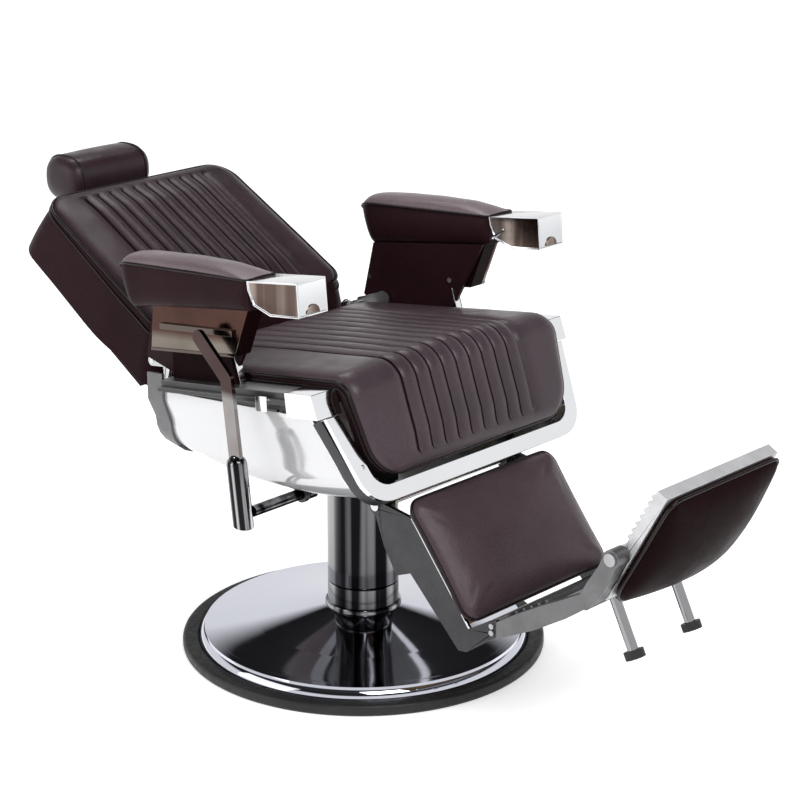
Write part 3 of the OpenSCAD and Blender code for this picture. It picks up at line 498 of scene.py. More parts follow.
def prism(name, outline, x0, x1, mats, body, replaced=(), bevel=0.001, side=1, inset=()):
    """Side profile of (Y, Z) in millimetres from x0 to x1, with soft edges. Each row of inset names a face,
    the width of the rim that stays, the depth of the sunk middle, and the number of the middle's material."""
    bm = bmesh.new()
    low = [bm.verts.new((side * x0 / 1000, y / 1000, z / 1000)) for y, z in outline]
    high = [bm.verts.new((side * x1 / 1000, y / 1000, z / 1000)) for y, z in outline]
    n = len(outline)
    inner = bm.faces.new(low)
    outer = bm.faces.new(high[::-1])
    walls = [bm.faces.new((low[i], high[i], high[(i + 1) % n], low[(i + 1) % n])) for i in range(n)]
    bmesh.ops.recalc_face_normals(bm, faces=bm.faces)
    named = {"inner": inner, "outer": outer, **{f"wall{i}": w for i, w in enumerate(walls)}}
    for key, width, depth, index in inset:
        bmesh.ops.inset_region(bm, faces=[named[key]], thickness=width / 1000, depth=0)
        bmesh.ops.inset_region(bm, faces=[named[key]], thickness=0.0008, depth=-depth / 1000)
        named[key].material_index = index
    edges = [e for e in bm.edges if len(e.link_faces) == 2 and e.calc_face_angle(0) > 0.5]
    bmesh.ops.bevel(bm, geom=edges, offset=bevel, segments=2, profile=0.6, affect="EDGES")
    mesh = bpy.data.meshes.new(name)
    bm.to_mesh(mesh)
    bm.free()
    for m in mats:
        mesh.materials.append(MATS[m])
    return make_object(name, mesh, body, replaced, 32)


def screw(name, place, outward, radius, body, mat="zinc", height=0.0018):
    """Domed screw head with a sunk ring for its recess."""
    profile = [(0.0, 0.55), (0.22, 0.5), (0.3, 0.9), (0.55, 0.98), (0.85, 0.7), (1.0, 0.2), (1.0, 0.0)]
    turn = Vector((0, 0, 1)).rotation_difference(Vector(outward)).to_matrix()
    rings = []
    for share, level in profile:
        r = radius * max(share, 0.001)
        ring = [(r * math.cos(t), r * math.sin(t), height * level)
                for t in np.linspace(0, 2 * math.pi, 28, endpoint=False)]
        rings.append([tuple(Vector(place) + turn @ Vector(v)) for v in ring])
    return loft(name, rings, [mat], body, caps=False)


def final_mesh(ob):
    bpy.context.view_layer.update()
    return bpy.data.meshes.new_from_object(ob.evaluated_get(bpy.context.evaluated_depsgraph_get()))


def coordinates(mesh):
    flat = np.zeros(len(mesh.vertices) * 3)
    mesh.vertices.foreach_get("co", flat)
    return flat.reshape(-1, 3)


def inflate(ob, held, voxel=0.0045, pressure=4.0, cap=0.006, frames=20):
    """Swells a closed pad with cloth under pressure. held(points) says which points stay sewn or glued."""
    remesh = ob.modifiers.new("remesh", "REMESH")
    remesh.mode = "VOXEL"
    remesh.voxel_size = voxel
    mesh = final_mesh(ob)
    ob.modifiers.clear()
    ob.data = mesh
    start = coordinates(mesh)
    group = ob.vertex_groups.new(name="held")
    group.add(np.nonzero(held(start))[0].tolist(), 1.0, "REPLACE")
    cloth = ob.modifiers.new("cloth", "CLOTH")
    cloth.settings.use_pressure = True
    cloth.settings.uniform_pressure_force = pressure
    cloth.settings.vertex_group_mass = "held"
    cloth.settings.effector_weights.gravity = 0
    cloth.point_cache.frame_start = 1
    cloth.point_cache.frame_end = frames
    for f in range(1, frames + 1):
        scene.frame_set(f)
    move = coordinates(final_mesh(ob)) - start
    size = np.linalg.norm(move, axis=1, keepdims=True)
    move *= np.minimum(1, cap / np.maximum(size, 1e-9))
    ob.modifiers.clear()
    scene.frame_set(1)
    mesh.vertices.foreach_set("co", (start + move).ravel())
    for p in mesh.polygons:
        p.use_smooth = True
    mesh.update()
    even = ob.modifiers.new("even", "SMOOTH")
    even.factor = 0.5
    even.iterations = 5
    sub = ob.modifiers.new("round", "SUBSURF")
    sub.levels = sub.render_levels = 1


def corner(e, r):
    """How far a rounded corner of radius r draws in at distance e from the end."""
    e = np.clip(e, 0, r)
    return r - np.sqrt(np.maximum(r * r - (r - e) ** 2, 0))


def rise(d, r):
    return np.sqrt(1 - (1 - np.clip(np.asarray(d, float) / r, 0, 1)) ** 2)


def smooth(t):
    t = np.clip(t, 0, 1)
    return t * t * (3 - 2 * t)


def rows(length, ends, count, dense=14):
    """Distances along a cushion, close together over the first and last 'ends' millimetres."""
    q = ends * (1 - np.cos(np.linspace(0, math.pi / 2, dense)))
    return np.r_[q, np.linspace(ends, length - ends, count)[1:-1], (length - q)[::-1]]


def wrinkle(a, b, size):
    """Small fixed unevenness of stuffed leather."""
    return size * (np.sin(a / 41 + 1.3) * np.sin(b / 53 + 0.4) + 0.5 * np.sin(a / 19 - b / 27)
                   + 0.3 * np.sin(b / 13 + a / 31))


SEAM_NEAR, SEAM_FAR = 0.045, 0.955


def sewn_columns(half, sewn, channels):
    """Positions across a cushion's face, close together beside each seam."""
    if channels:
        phase = [0, SEAM_NEAR, 0.11, 0.2, 0.35, 0.5, 0.65, 0.8, 0.89, SEAM_FAR]
        pitch = 2 * sewn / channels
        mid = [-sewn + (i + p) * pitch for i in range(channels) for p in phase] + [sewn]
    else:
        mid = list(np.linspace(-0.55 * half, 0.55 * half, 25))
    edge = mid[-1]
    out = [edge + (half - edge) * q for q in (0.05, 0.12, 0.22, 0.34, 0.47, 0.6, 0.72, 0.82, 0.9, 0.96, 1.0)]
    return np.r_[[-p for p in out[::-1]], mid, out]


def channel_drop(x, sewn, channels, puff):
    """How far the face lies below its crown between and beside the seams."""
    x = np.asarray(x, float)
    pitch = 2 * sewn / channels
    ph = np.mod((x + sewn) / pitch, 1.0)
    inside = puff * (1 - np.abs(np.sin(math.pi * ph)) ** 0.42)
    outside = puff * np.exp(-np.maximum(np.abs(x) - sewn, 0) / 6.0)
    return np.where(np.abs(x) <= sewn + 1e-6, inside, outside)


def seam_columns(x, sewn, channels):
    """Which strips between neighbouring columns lie along a seam."""
    mid = (x[1:] + x[:-1]) / 2
    phase = np.mod((mid + sewn) / (2 * sewn / channels), 1.0)
    return (np.abs(mid) < sewn) & ((phase < SEAM_NEAR) | (phase > SEAM_FAR))


def face_and_sides(count, walls):
    """Material of each column of a ring that starts and ends with 'walls' points of base and side."""
    return [0 if walls <= i < count - walls - 1 else 1 for i in range(count)]


def mark_seams(ob, columns, first, last, sewn):
    """Gives the strips in 'sewn' (column numbers) the third material, dark painted shade along the seam
    grooves, between two rows.
    """
    strips = set(sewn)
    for p in ob.data.polygons:
        row, column = divmod(min(p.vertices), columns)
        if len(p.vertices) == 4 and first <= row < last and column in strips:
            p.material_index = 2


def leaning(x, hinge, tilt, along, up):
    """Places in metres, from millimetres along and above a plane that leans by tilt from its hinge line."""
    c, s = math.cos(tilt), math.sin(tilt)
    return np.stack([x, hinge[0] + along * c + up * s, hinge[1] - along * s + up * c], -1) / 1000


def on_seat(x, u, w):
    return leaning(x, (0, SEAT_H), SEAT_TILT, u, w)


def on_back(x, y, z):
    return leaning(x, BACK_HINGE, BACK_TILT, y, z)


def on_calf(x, y, z):
    return leaning(x, CALF_HINGE, CALF_TILT, y, z)


def on_foot(x, y, z):
    return leaning(x, FOOT_HINGE, FOOT_TILT, y, z)


def above_seat(y, height):
    """Height of a level that lies 'height' over the seat's plane, at y."""
    return SEAT_H + height / math.cos(SEAT_TILT) - y * math.tan(SEAT_TILT)


# ---- Seat cushion ----

SEAT_FLAT, SEAT_TURN, SEAT_FALL = 451.0, math.radians(78), 144.0
SEAT_REAR, SEAT_BOARD, BOARD_NOSE = 247, 36, 7
SEAT_ROUND = 30
SEAT_BEND = SEAT_ROUND * SEAT_TURN
SEAT_SEWN, SEAT_CHANNELS, SEAT_GROOVE = 152, 9, 7.0
SEAT_LENGTH = SEAT_FLAT + SEAT_BEND + SEAT_FALL


def seat_point(x, s, h):
    """Point at x across, s along the cushion's path from the rear, h above the board."""
    x, s, h = np.broadcast_arrays(np.asarray(x, float), np.asarray(s, float), np.asarray(h, float))
    a = np.clip((s - SEAT_FLAT) / SEAT_ROUND, 0, SEAT_TURN)
    fall = np.maximum(s - SEAT_FLAT - SEAT_BEND, 0)
    u = SEAT_REAR - np.minimum(s, SEAT_FLAT) - (BOARD_NOSE + h) * np.sin(a) - fall * math.cos(SEAT_TURN)
    w = SEAT_BOARD + (BOARD_NOSE + h) * np.cos(a) - fall * math.sin(SEAT_TURN)
    return on_seat(x, u, w)


def seat_half(s):
    e = np.minimum(s, SEAT_LENGTH - s)
    return 266 + 2 * smooth((s - 80) / 100) - 0.13 * np.maximum(s - SEAT_FLAT - SEAT_BEND, 0) - corner(e, 58)


def build_seat():
    turn_rows = np.linspace(SEAT_FLAT - 12, SEAT_FLAT + SEAT_BEND + 12, 22)
    front_rows = SEAT_LENGTH - np.array([38, 34, 30, 27, 24, 21, 18])
    s_rows = np.unique(np.r_[rows(SEAT_LENGTH, 60, 30, 16), turn_rows, front_rows])
    piping_h, top = 27.0, 39.0
    rings = []
    for s in s_rows:
        half = float(seat_half(s))
        e = min(s, SEAT_LENGTH - s)
        x = sewn_columns(half, SEAT_SEWN, SEAT_CHANNELS)
        d = np.minimum(half - np.abs(x), e)
        turn = min(max((s - SEAT_FLAT) / SEAT_ROUND, 0), SEAT_TURN) / SEAT_TURN
        crown = 13 * min(1, e / 60) * (1 - 0.35 * turn) * (1 - (x / half) ** 2)
        fade = float(smooth((SEAT_LENGTH - s - 16) / 14)) * float(smooth(s / 20))
        groove = channel_drop(x, SEAT_SEWN, SEAT_CHANNELS, SEAT_GROOVE)
        h = piping_h + (top - piping_h) * rise(d, 26) + crown - fade * groove
        h = h + wrinkle(x, s, 0.35) * np.clip(d / 30, 0, 1)
        pull = 3.0 * math.sin(math.pi * s / SEAT_LENGTH)
        t = np.array([0.82, 0.6, 0.38, 0.16, 0.0])
        wall_x = half - 1.2 - pull * (1 - t) + 2.2 * np.sin(math.pi * t)
        wall_h = piping_h * t
        ring_x = np.r_[-(wall_x[-1] - 8), -wall_x[::-1], x, wall_x, wall_x[-1] - 8]
        ring_h = np.r_[0, wall_h[::-1], h, wall_h, 0]
        rings.append(seat_point(ring_x, s, ring_h))
    n = rings[0].shape[0]
    walls = t.size + 1
    # The seat's sides and end caps get the painted shaded copy of the leather.
    cushion = loft("seat_cushion_soft", rings, ["leather_lit_seat", "leather_shaded_side", "seam"], "seat",
                   ("seat_cushion",), face_and_sides(n, walls), cap_mat=1, angle=55)
    first, last = np.searchsorted(s_rows, (12, SEAT_LENGTH - 22))
    mark_seams(cushion, n, first, last, walls + np.nonzero(seam_columns(x, SEAT_SEWN, SEAT_CHANNELS))[0])
    q = s_rows
    for name, h, out, radius in (("seat_piping_upper", piping_h + 0.6, 0.4, 3.1),
                                 ("seat_piping_lower", 17.0, 0.2, 2.1)):
        side = seat_half(q) + out - 4.5 * (1 - smooth((q - 50) / 25))
        near = seat_point(-side, q + 3.5 * (1 - smooth(q / 20)), h)
        end = seat_point(np.linspace(-side[-1], side[-1], 30)[1:-1], SEAT_LENGTH + out, h)
        far = seat_point(side, q + 3.5 * (1 - smooth(q / 20)), h)[::-1]
        tube(name, np.vstack([near, end, far]), radius / 1000, "piping", "seat", closed=True)


# ---- Back cushion ----

BACK_L, BACK_DEEP = 347.0, 106.0
BACK_BELOW = 24
BACK_SEWN, BACK_CHANNELS, BACK_GROOVE = 150, 10, 6.6


def back_lean(z):
    return 30 * (1 - np.maximum(z, 0) / BACK_L / 2)


def back_half(z):
    e = np.minimum(z + BACK_BELOW, BACK_L - z)
    return 238 - 10 * np.maximum(z, 0) / BACK_L - np.where(z > 120, corner(e, 50), corner(e, 30))


def back_point(x, h, z):
    x, h, z = np.broadcast_arrays(np.asarray(x, float), np.asarray(h, float), np.asarray(z, float))
    y = 24.5 - h
    slope = 0.61 * np.maximum(0, 1 - (z + BACK_BELOW) / 130)
    return on_back(x, y, z - slope * (y + 81.5))


def back_wall(z, h):
    """Half width of the side at height h above the board."""
    lean = back_lean(z) + 12 * smooth((np.asarray(z) - 20) / 70)
    return back_half(z) + lean * (BACK_DEEP - h) / BACK_DEEP


def build_back():
    top_rows = BACK_L - np.array([34, 31, 28, 25, 22, 19])
    z_rows = np.unique(np.r_[rows(BACK_L + BACK_BELOW, 52, 26, 16) - BACK_BELOW, top_rows])
    piping_h = BACK_DEEP - 10
    rings = []
    for z in z_rows:
        half = float(back_half(z))
        e = min(z + BACK_BELOW, BACK_L - z)
        x = sewn_columns(half, BACK_SEWN, BACK_CHANNELS)
        d = np.minimum(half - np.abs(x), e)
        fade = float(smooth((BACK_L - z - 20) / 10)) * float(smooth((z + BACK_BELOW) / 12))
        crown = 12 * min(1, e / 70) * (1 - (x / half) ** 2)
        groove = channel_drop(x, BACK_SEWN, BACK_CHANNELS, BACK_GROOVE)
        h = piping_h + 10 * rise(d, 24) + crown - fade * groove
        h = h + wrinkle(x, z, 0.4) * np.clip(d / 30, 0, 1)
        t = np.array([0.93, 0.84, 0.72, 0.58, 0.44, 0.3, 0.17, 0.07, 0.0])
        grow = 1.0 + 3.0 * min(max(z / BACK_L, 0), 1)
        wall_x = back_wall(z, piping_h * t) - 1.0 + grow * np.sin(math.pi * t) + wrinkle(t * 150, z, 0.35)
        wall_h = piping_h * t
        ring_x = np.r_[-(wall_x[-1] - 10), -wall_x[::-1], x, wall_x, wall_x[-1] - 10]
        ring_h = np.r_[0, wall_h[::-1], h, wall_h, 0]
        rings.append(back_point(ring_x, ring_h, z))
    last = rings[-1]
    centre = last.mean(0)
    out = on_back(0.0, 0.0, 1.0) - on_back(0.0, 0.0, 0.0)
    for k, lift in ((0.97, 1.6), (0.86, 3.4), (0.6, 4.6), (0.3, 5.0)):
        rings.append(centre + (last - centre) * k + out * lift)
    n = rings[0].shape[0]
    walls = t.size + 1
    # The back's sides and end caps get the painted shaded copy of the leather.
    cushion = loft("back_cushion_soft", rings, ["leather", "leather_shaded_side", "seam"], "back",
                   ("back_cushion",), face_and_sides(n, walls), cap_mat=1, angle=55)
    low_row, high_row = np.searchsorted(z_rows, (-12, BACK_L - 26))
    mark_seams(cushion, n, low_row, high_row,
               walls + np.nonzero(seam_columns(x, BACK_SEWN, BACK_CHANNELS))[0])
    # The rounded top end also gets the painted shaded copy.
    for p in cushion.data.polygons:
        if min(p.vertices) >= (len(z_rows) - 1) * n:
            p.material_index = 1
    q = z_rows
    for name, drop, out, radius in (("back_piping_upper", 0 * q, 0.6, 3.2),
                                    ("back_piping_lower", 17 - 9 * q / BACK_L, 0.8, 2.2)):
        h = piping_h + 0.5 - drop
        near = back_point(-(back_wall(q, h) + out), h, q)
        end = back_point(np.linspace(-1, 1, 28)[1:-1] * back_wall(BACK_L, h[-1]), h[-1], BACK_L + out)
        far = back_point(back_wall(q, h) + out, h, q)[::-1]
        tube(name, np.vstack([near, end, far]), radius / 1000, "piping", "back")


# ---- Headrest ----


HEAD_HALF = 97
HEAD_SEAM = 0.0803


def build_headrest():
    centre = on_back(0.0, -18.6, 445.0)
    a = np.linspace(0, 2 * math.pi, 72, endpoint=False)
    c, s = np.cos(a), np.sin(a)
    unit = (np.abs(c) ** 2.7 + np.abs(s) ** 2.7) ** (-1 / 2.7)

    def ring(x, k):
        return np.stack([np.full(a.size, centre[0] + x / 1000), centre[1] + 0.054 * k * unit * c,
                         centre[2] + 0.046 * k * unit * s], -1)

    half = [(-1.085, 0.02), (-1.08, 0.25), (-1.065, 0.46), (-1.035, 0.66), (-0.99, 0.81), (-0.93, 0.91),
            (-0.87, 0.962), (-0.835, 0.975), (-0.825, 0.962), (-0.81, 0.98), (-0.78, 0.995), (-0.7, 1.005),
            (-0.5, 1.015), (-0.2, 1.025)]
    spots = half + [(-x, k) for x, k in half[::-1]]
    rings = []
    for x, k in spots:
        rings.append(ring(x * HEAD_HALF, k))
        rings[-1][:, 2] += wrinkle(a * 60, x * HEAD_HALF, 0.0005)
    roll = loft("headrest_roll", rings, ["leather"], "headrest", ("headrest_cushion",), angle=60)
    inflate(roll, lambda p: np.abs(np.abs(p[:, 0]) - HEAD_SEAM) < 0.003, cap=0.004)
    for side, tag in reversed(SIDES):
        tube(f"headrest_piping_{tag}", ring(side * 0.828 * HEAD_HALF, 0.978), 0.0022, "piping", "headrest",
             closed=True)


# ---- Arm pads ----


ARM_REAR, ARM_HALF = 277, 34
ARM_CUT_FROM, ARM_CUT = 200, 27


def build_arm_pad(side, tag):
    rear_rows = ARM_REAR - ARM_HALF * (1 - np.cos(np.linspace(0, math.pi / 2, 14)))
    y_rows = np.r_[rear_rows, np.linspace(ARM_REAR - ARM_HALF, -50, 26)[1:], [-55, -58.5, -60.7, -61.6]]
    crown_y = [-277, -255, -225, -170, -88, -10, 30, 50, 61.7]
    crown_share = [0.1, 0.68, 0.86, 0.96, 1, 0.86, 0.56, 0.3, 0.14]
    rings = []
    seam = []
    for y in y_rows:
        draw = 22 * (1 - math.sqrt(max(1 - (1 - min((ARM_REAR - y) / ARM_HALF, 1)) ** 2, 0)))
        half = ARM_HALF - draw
        low = 715.2 - 0.155 * y + 0.75 * draw
        high = 774 - 0.078 * y - 0.75 * draw
        share = np.interp(-y, crown_y, crown_share)
        front = smooth((y + 62) / 10)
        half_front = half - 2.5 * (1 - front)
        t = np.array([0, 0.03, 0.09, 0.18, 0.32, 0.5, 0.7, 0.88, 1])
        wall = half_front - 1 - 9 * (1 - rise(t, 0.26)) + 3.6 * np.sin(math.pi * t) * front
        wall_z = low + (high - low) * t
        b = np.linspace(math.pi, 0, 29)[1:-1]
        top_x = (half_front - 0.4) * np.cos(b)
        top_z = high + 21.5 * share * np.sin(b) ** 0.85
        ring_x = np.r_[-wall[0] + 6, -wall, top_x, wall[::-1], wall[0] - 6]
        ring_z = np.r_[low, wall_z, top_z, wall_z[::-1], low]
        ring_z = ring_z + wrinkle(ring_x * 2, y, 0.25)
        down = np.clip((high - ring_z) / (high - low), 0, 1)
        ring_y = y - ARM_CUT * max(0, (y - ARM_CUT_FROM) / (ARM_REAR - ARM_CUT_FROM)) * down
        rings.append(np.stack([side * (ARM_X + ring_x), ring_y, ring_z], -1) / 1000)
        seam.append((half_front + 0.2, y, high + 0.3))
    n = rings[0].shape[0]
    # The top gets the painted lit copy of the leather, the sides and caps the painted shaded copy.
    column = [0 if t.size <= i < n - t.size - 2 else 1 for i in range(n)]
    pad = loft(f"arm_cushion_{tag}", rings, ["leather_lit_top", "leather_shaded_side"], "seat",
               (f"arm_pad_{tag}",), column, cap_mat=1, angle=50)
    seam = np.array(seam)
    one = np.stack([side * (ARM_X - seam[:, 0]), seam[:, 1], seam[:, 2]], -1)[::-1]
    two = np.stack([side * (ARM_X + seam[:, 0]), seam[:, 1], seam[:, 2]], -1)
    tube(f"arm_piping_{tag}", np.vstack([one, two]) / 1000, 0.0021, "piping", "seat", closed=True, step=0.004)


# ---- Calf pad and footrest pad ----


def pillow(name, place, mat, body, replaced, half, start, end, radius, edge, top, crown, roundness,
           low_radius=None, fullness=1.0):
    """Crowned pad over a rounded rectangle, with its sides drawn in between the corners."""
    length = end - start
    low_radius = low_radius or radius
    spots = np.unique(rows(length, max(radius, low_radius) + 14, 20, 18))

    def half_width(q):
        q = np.asarray(q, float)
        draw = np.where(q < length / 2, corner(q, low_radius), corner(length - q, radius))
        return half - draw - 2.5 * np.sin(math.pi * np.clip(q / length, 0, 1))

    rings = []
    for q in spots:
        e = min(q, length - q)
        width = float(half_width(q))
        x = sewn_columns(width, 0, 0)
        d = np.minimum(width - np.abs(x), e)
        mid = 1 - (2 * q / length - 1) ** 2
        h = edge + (top - edge) * rise(d, roundness) + crown * (1 - (x / width) ** 2) ** fullness * mid ** 0.8
        h = h + wrinkle(x, q, 0.4) * np.clip(d / 30, 0, 1)
        t = np.array([0.75, 0.45, 0.15, 0.0])
        wall_x = width - 0.8 + 1.4 * np.sin(math.pi * t)
        ring_x = np.r_[-(wall_x[-1] - 6), -wall_x[::-1], x, wall_x, wall_x[-1] - 6]
        ring_h = np.r_[0, edge * t[::-1], h, edge * t, 0]
        rings.append(place(ring_x, ring_h, np.full(ring_x.size, start + q)))
    pad = loft(name, rings, [mat], body, replaced, angle=60)
    origin, *ends = [place(*v) for v in np.vstack([np.zeros(3), np.eye(3)])]
    axes = (np.array(ends) - origin) * 1000

    def held(points):
        local = (points - origin) @ axes.T * 1000
        q = np.clip(local[:, 2] - start, 0, length)
        e = np.minimum(q, length - q)
        width = half_width(q)
        rim = np.minimum(width - np.abs(local[:, 0]), e) < 4
        return (local[:, 1] < 3) | (rim & (np.abs(local[:, 1] - edge) < 3.5))

    inflate(pad, held, pressure=2.0, cap=0.0014)
    q = spots
    width = half_width(q) + 0.4
    level = np.full(q.size, edge + 0.4)
    near = place(-width, level, start + q)
    across = np.linspace(-1, 1, 24)[1:-1]
    flat = np.full(across.size, level[0])
    far_end = place(across * width[-1], flat, np.full(across.size, start + length + 0.4))
    far = place(width, level, start + q)[::-1]
    head = place(-across * width[0], flat, np.full(across.size, start - 0.4))
    tube(name + "_piping", np.vstack([near, far_end, far, head]), 0.0028, "piping", body, closed=True)


# ---- Tub, dome and column ----

RAIL_FOOT, RAIL_TOP = 22, 57


def tub_floor(y):
    return TUB_FLOOR + 41 * ((y - 10) / 300) ** 2


def tub_outline(y, grow):
    """Section of the tub at y from the near top edge round to the far one, as (x, z)."""
    top_z = 539.5 - 0.088 * y
    knee_z = min(above_seat(y, RAIL_FOOT) - 3, top_z - 4)
    half, low, r = TUB_HALF + grow, TUB_LOW_HALF + grow, TUB_ROUND + grow
    floor_z = tub_floor(y) - grow
    a = np.radians(np.arange(180, 271, 4.5))
    bend = np.stack([-low + r + r * np.cos(a), floor_z + r + r * np.sin(a)], -1)
    flat = np.stack([np.linspace(-low + r, low - r, 22)[1:-1], np.full(20, floor_z)], -1)
    side = [(-half, top_z), (-half, (top_z + knee_z) / 2), (-half, knee_z)]
    for t in (0.06, 0.2, 0.4, 0.6, 0.8):
        x = -half + 17 * smooth(t) * 0.35 + 17 * t * 0.65
        side.append((x, knee_z + (floor_z + r - knee_z) * t))
    left = np.vstack([side, bend])
    return np.vstack([left, flat, left[::-1] * (-1, 1)])


def front_plane_y(z):
    """Distance along the chair where the front frame's rear face lies at height z."""
    return FRAME_TOP[0] + (33.4 + (z - FRAME_TOP[1]) * math.sin(FRAME_TILT)) / math.cos(FRAME_TILT)


def build_tub():
    rings = []
    rims = []
    for f in np.linspace(0, 1, 46):
        halves = []
        for grow in (0.0, -3.0):
            y = np.full(len(tub_outline(0, 0)), -250 + 477 * f)
            for _ in range(12):
                pts = np.array([tub_outline(v, grow)[i] for i, v in enumerate(y)])
                y = front_plane_y(pts[:, 1]) * (1 - f) + 227 * f
            halves.append(np.stack([pts[:, 0], y, pts[:, 1]], -1) / 1000)
        rims.append(halves[0])
        rings.append(np.vstack([halves[0], halves[1][::-1]]))
    shell = loft("tub_shell_smooth", rings, ["white_shell", "black_steel"], "seat", ("tub_shell",),
                 caps=False, angle=35)
    # Downward faces under the middle get black paint: a painted shade underside, so the dome mirrors it dark.
    for p in shell.data.polygons:
        if p.normal.z < -0.93 and abs(p.center.x) < 0.225:
            p.material_index = 1
    edge = rims[0].copy()
    edge[:, 1] += 0.002
    tube("shell_bead", edge, 0.002, "polished", "seat", step=0.01)


def build_frame_shade_strip():
    """Dark strip round the rear half of the front frame's side, between the bar and the shell: painted shade
    in the gap there.
    """
    a = np.radians(np.linspace(180, 270, 24))
    bend = np.stack([-227 + TUB_ROUND * np.cos(a), -120 + TUB_ROUND * np.sin(a)], -1)
    top = np.array([-313.6, -16.5])
    away = bend - top
    first = int(np.argmin(np.arctan2(away[:, 0], -away[:, 1])))
    half = np.vstack([top, bend[first:]])
    path = np.vstack([half, half[::-1] * (-1, 1)])
    ahead = np.gradient(path, axis=0)
    normal = np.stack([ahead[:, 1], -ahead[:, 0]], -1)
    normal /= np.linalg.norm(normal, axis=1, keepdims=True)
    if normal[len(path) // 2, 1] > 0:
        normal = -normal
    section = ((-0.5, 10.0), (0.5, 10.4), (0.7, 12.0), (0.7, 30.0), (0.5, 31.6), (-0.5, 32.0))
    c, s = math.cos(FRAME_TILT), math.sin(FRAME_TILT)
    rings = np.array([[(x + n[0] * out, FRAME_TOP[0] + y * c + (z + n[1] * out) * s,
                        FRAME_TOP[1] - y * s + (z + n[1] * out) * c) for out, y in section]
                      for (x, z), n in zip(path, normal)]) / 1000
    drop = -(SEAT_H + 62 + 5.6 - tub_floor(-293)) / c
    shift = (drop + 182) / 1000
    rings += np.array([0, shift * s, shift * c])
    loft("frame_shade_strip", rings, ["black_steel"], "seat", angle=40)


def build_base():
    s = np.linspace(0, 1, 60)
    curve = [(71.5 + 212.5 * t, 40 + 37 * (1 - t) ** 1.2) for t in s]
    arc = [(284 + 26 * math.cos(a), 14 + 26 * math.sin(a)) for a in np.linspace(math.pi / 2, 0, 22)[1:]]
    profile = [(63.5, 77.0), (70.5, 77.0)] + curve + arc + [(310, 10), (308, 10), (308, 13)]
    inner = [(306 - 234 * t, 38 + 36.5 * t ** 1.2) for t in np.linspace(0.03, 1, 24)]
    lathe("dome_skin", profile + inner + [(63.5, 74.5)], "dome_chrome", "base", ("base_dome",), 256, 35)
    ring = []
    for cx, cz, a0 in ((333, 15, 0), (317, 15, 90), (317, 7, 180), (333, 7, 270)):
        turns = [math.radians(a0 + k) for k in range(0, 91, 15)]
        ring += [(cx + 7 * math.cos(a), cz + 7 * math.sin(a)) for a in turns]
    ring.append(ring[0])
    lathe("floor_ring", ring, "rubber", "base", ("base_ring",), 256, 60)
    collar = [(63.5, 77.2), (71.5, 77.2), (71.5, 83), (70, 85.2), (67.5, 85.4), (66.6, 86.4), (66.5, 122.6),
              (65.9, 124.4), (64.6, 125), (63.5, 125), (63.5, 77.2)]
    lathe("collar_skin", collar, "dark_chrome", "base", ("column_collar",), 128, 35)
    shroud = [(63.5, 126.6), (65.6, 126.6), (66.3, 127.4), (66.5, 129), (66.5, 180), (66.5, 240), (66.5, 300),
              (66.5, 368), (66.2, 372), (65, 376.4), (63, 378), (57.6, 378), (57.6, 370), (63.5, 368),
              (63.5, 126.6)]
    body = NODES["column_shroud"]["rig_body"]
    lathe("shroud_skin", shroud, "dark_chrome", body, ("column_shroud",), 128, 35)


# ---- Arms and small bright parts ----


RAIL = [(269, RAIL_FOOT), (269, RAIL_TOP), (318, RAIL_TOP), (318, 46), (328, 46), (328, 38), (305, 38),
        (305, RAIL_FOOT)]


def build_rail(side, tag):
    """Rail of the CAD section with a satin top, painted shade in black on its sides and under its lip, and a
    bright clip over its lip.
    """
    soft = []
    corners = np.array(RAIL, float)
    for k, here in enumerate(corners):
        for other in (corners[k - 1], corners[(k + 1) % len(corners)]):
            step = other - here
            soft.append(here + step / np.linalg.norm(step) * 0.9)
    x, w = np.array(soft).T
    rings = [on_seat(side * x, np.full(x.size, u), w) for u in (-142, -60, 60, 183.2, 184)]
    # Upward faces get satin, all others black: painted shade on the sides and under the lip.
    tone = [1, 1, 1, 0, 0, 1, 1, 0, 0, 1, 1, 1, 1, 1, 1, 1]
    loft(f"rail_detail_{tag}", rings, ["satin", "black_steel"], "seat", (f"side_rail_{tag}",), tone, angle=30)
    clip = [(-91, 552), (-64, 548), (-64, 575), (-91, 579)]
    prism(f"rail_clip_{tag}", clip, 328.1, 329.4, ["polished"], "seat", bevel=0.0005, side=side)


NOTCH_R, NOTCH_LEAN = 15, 0.0847


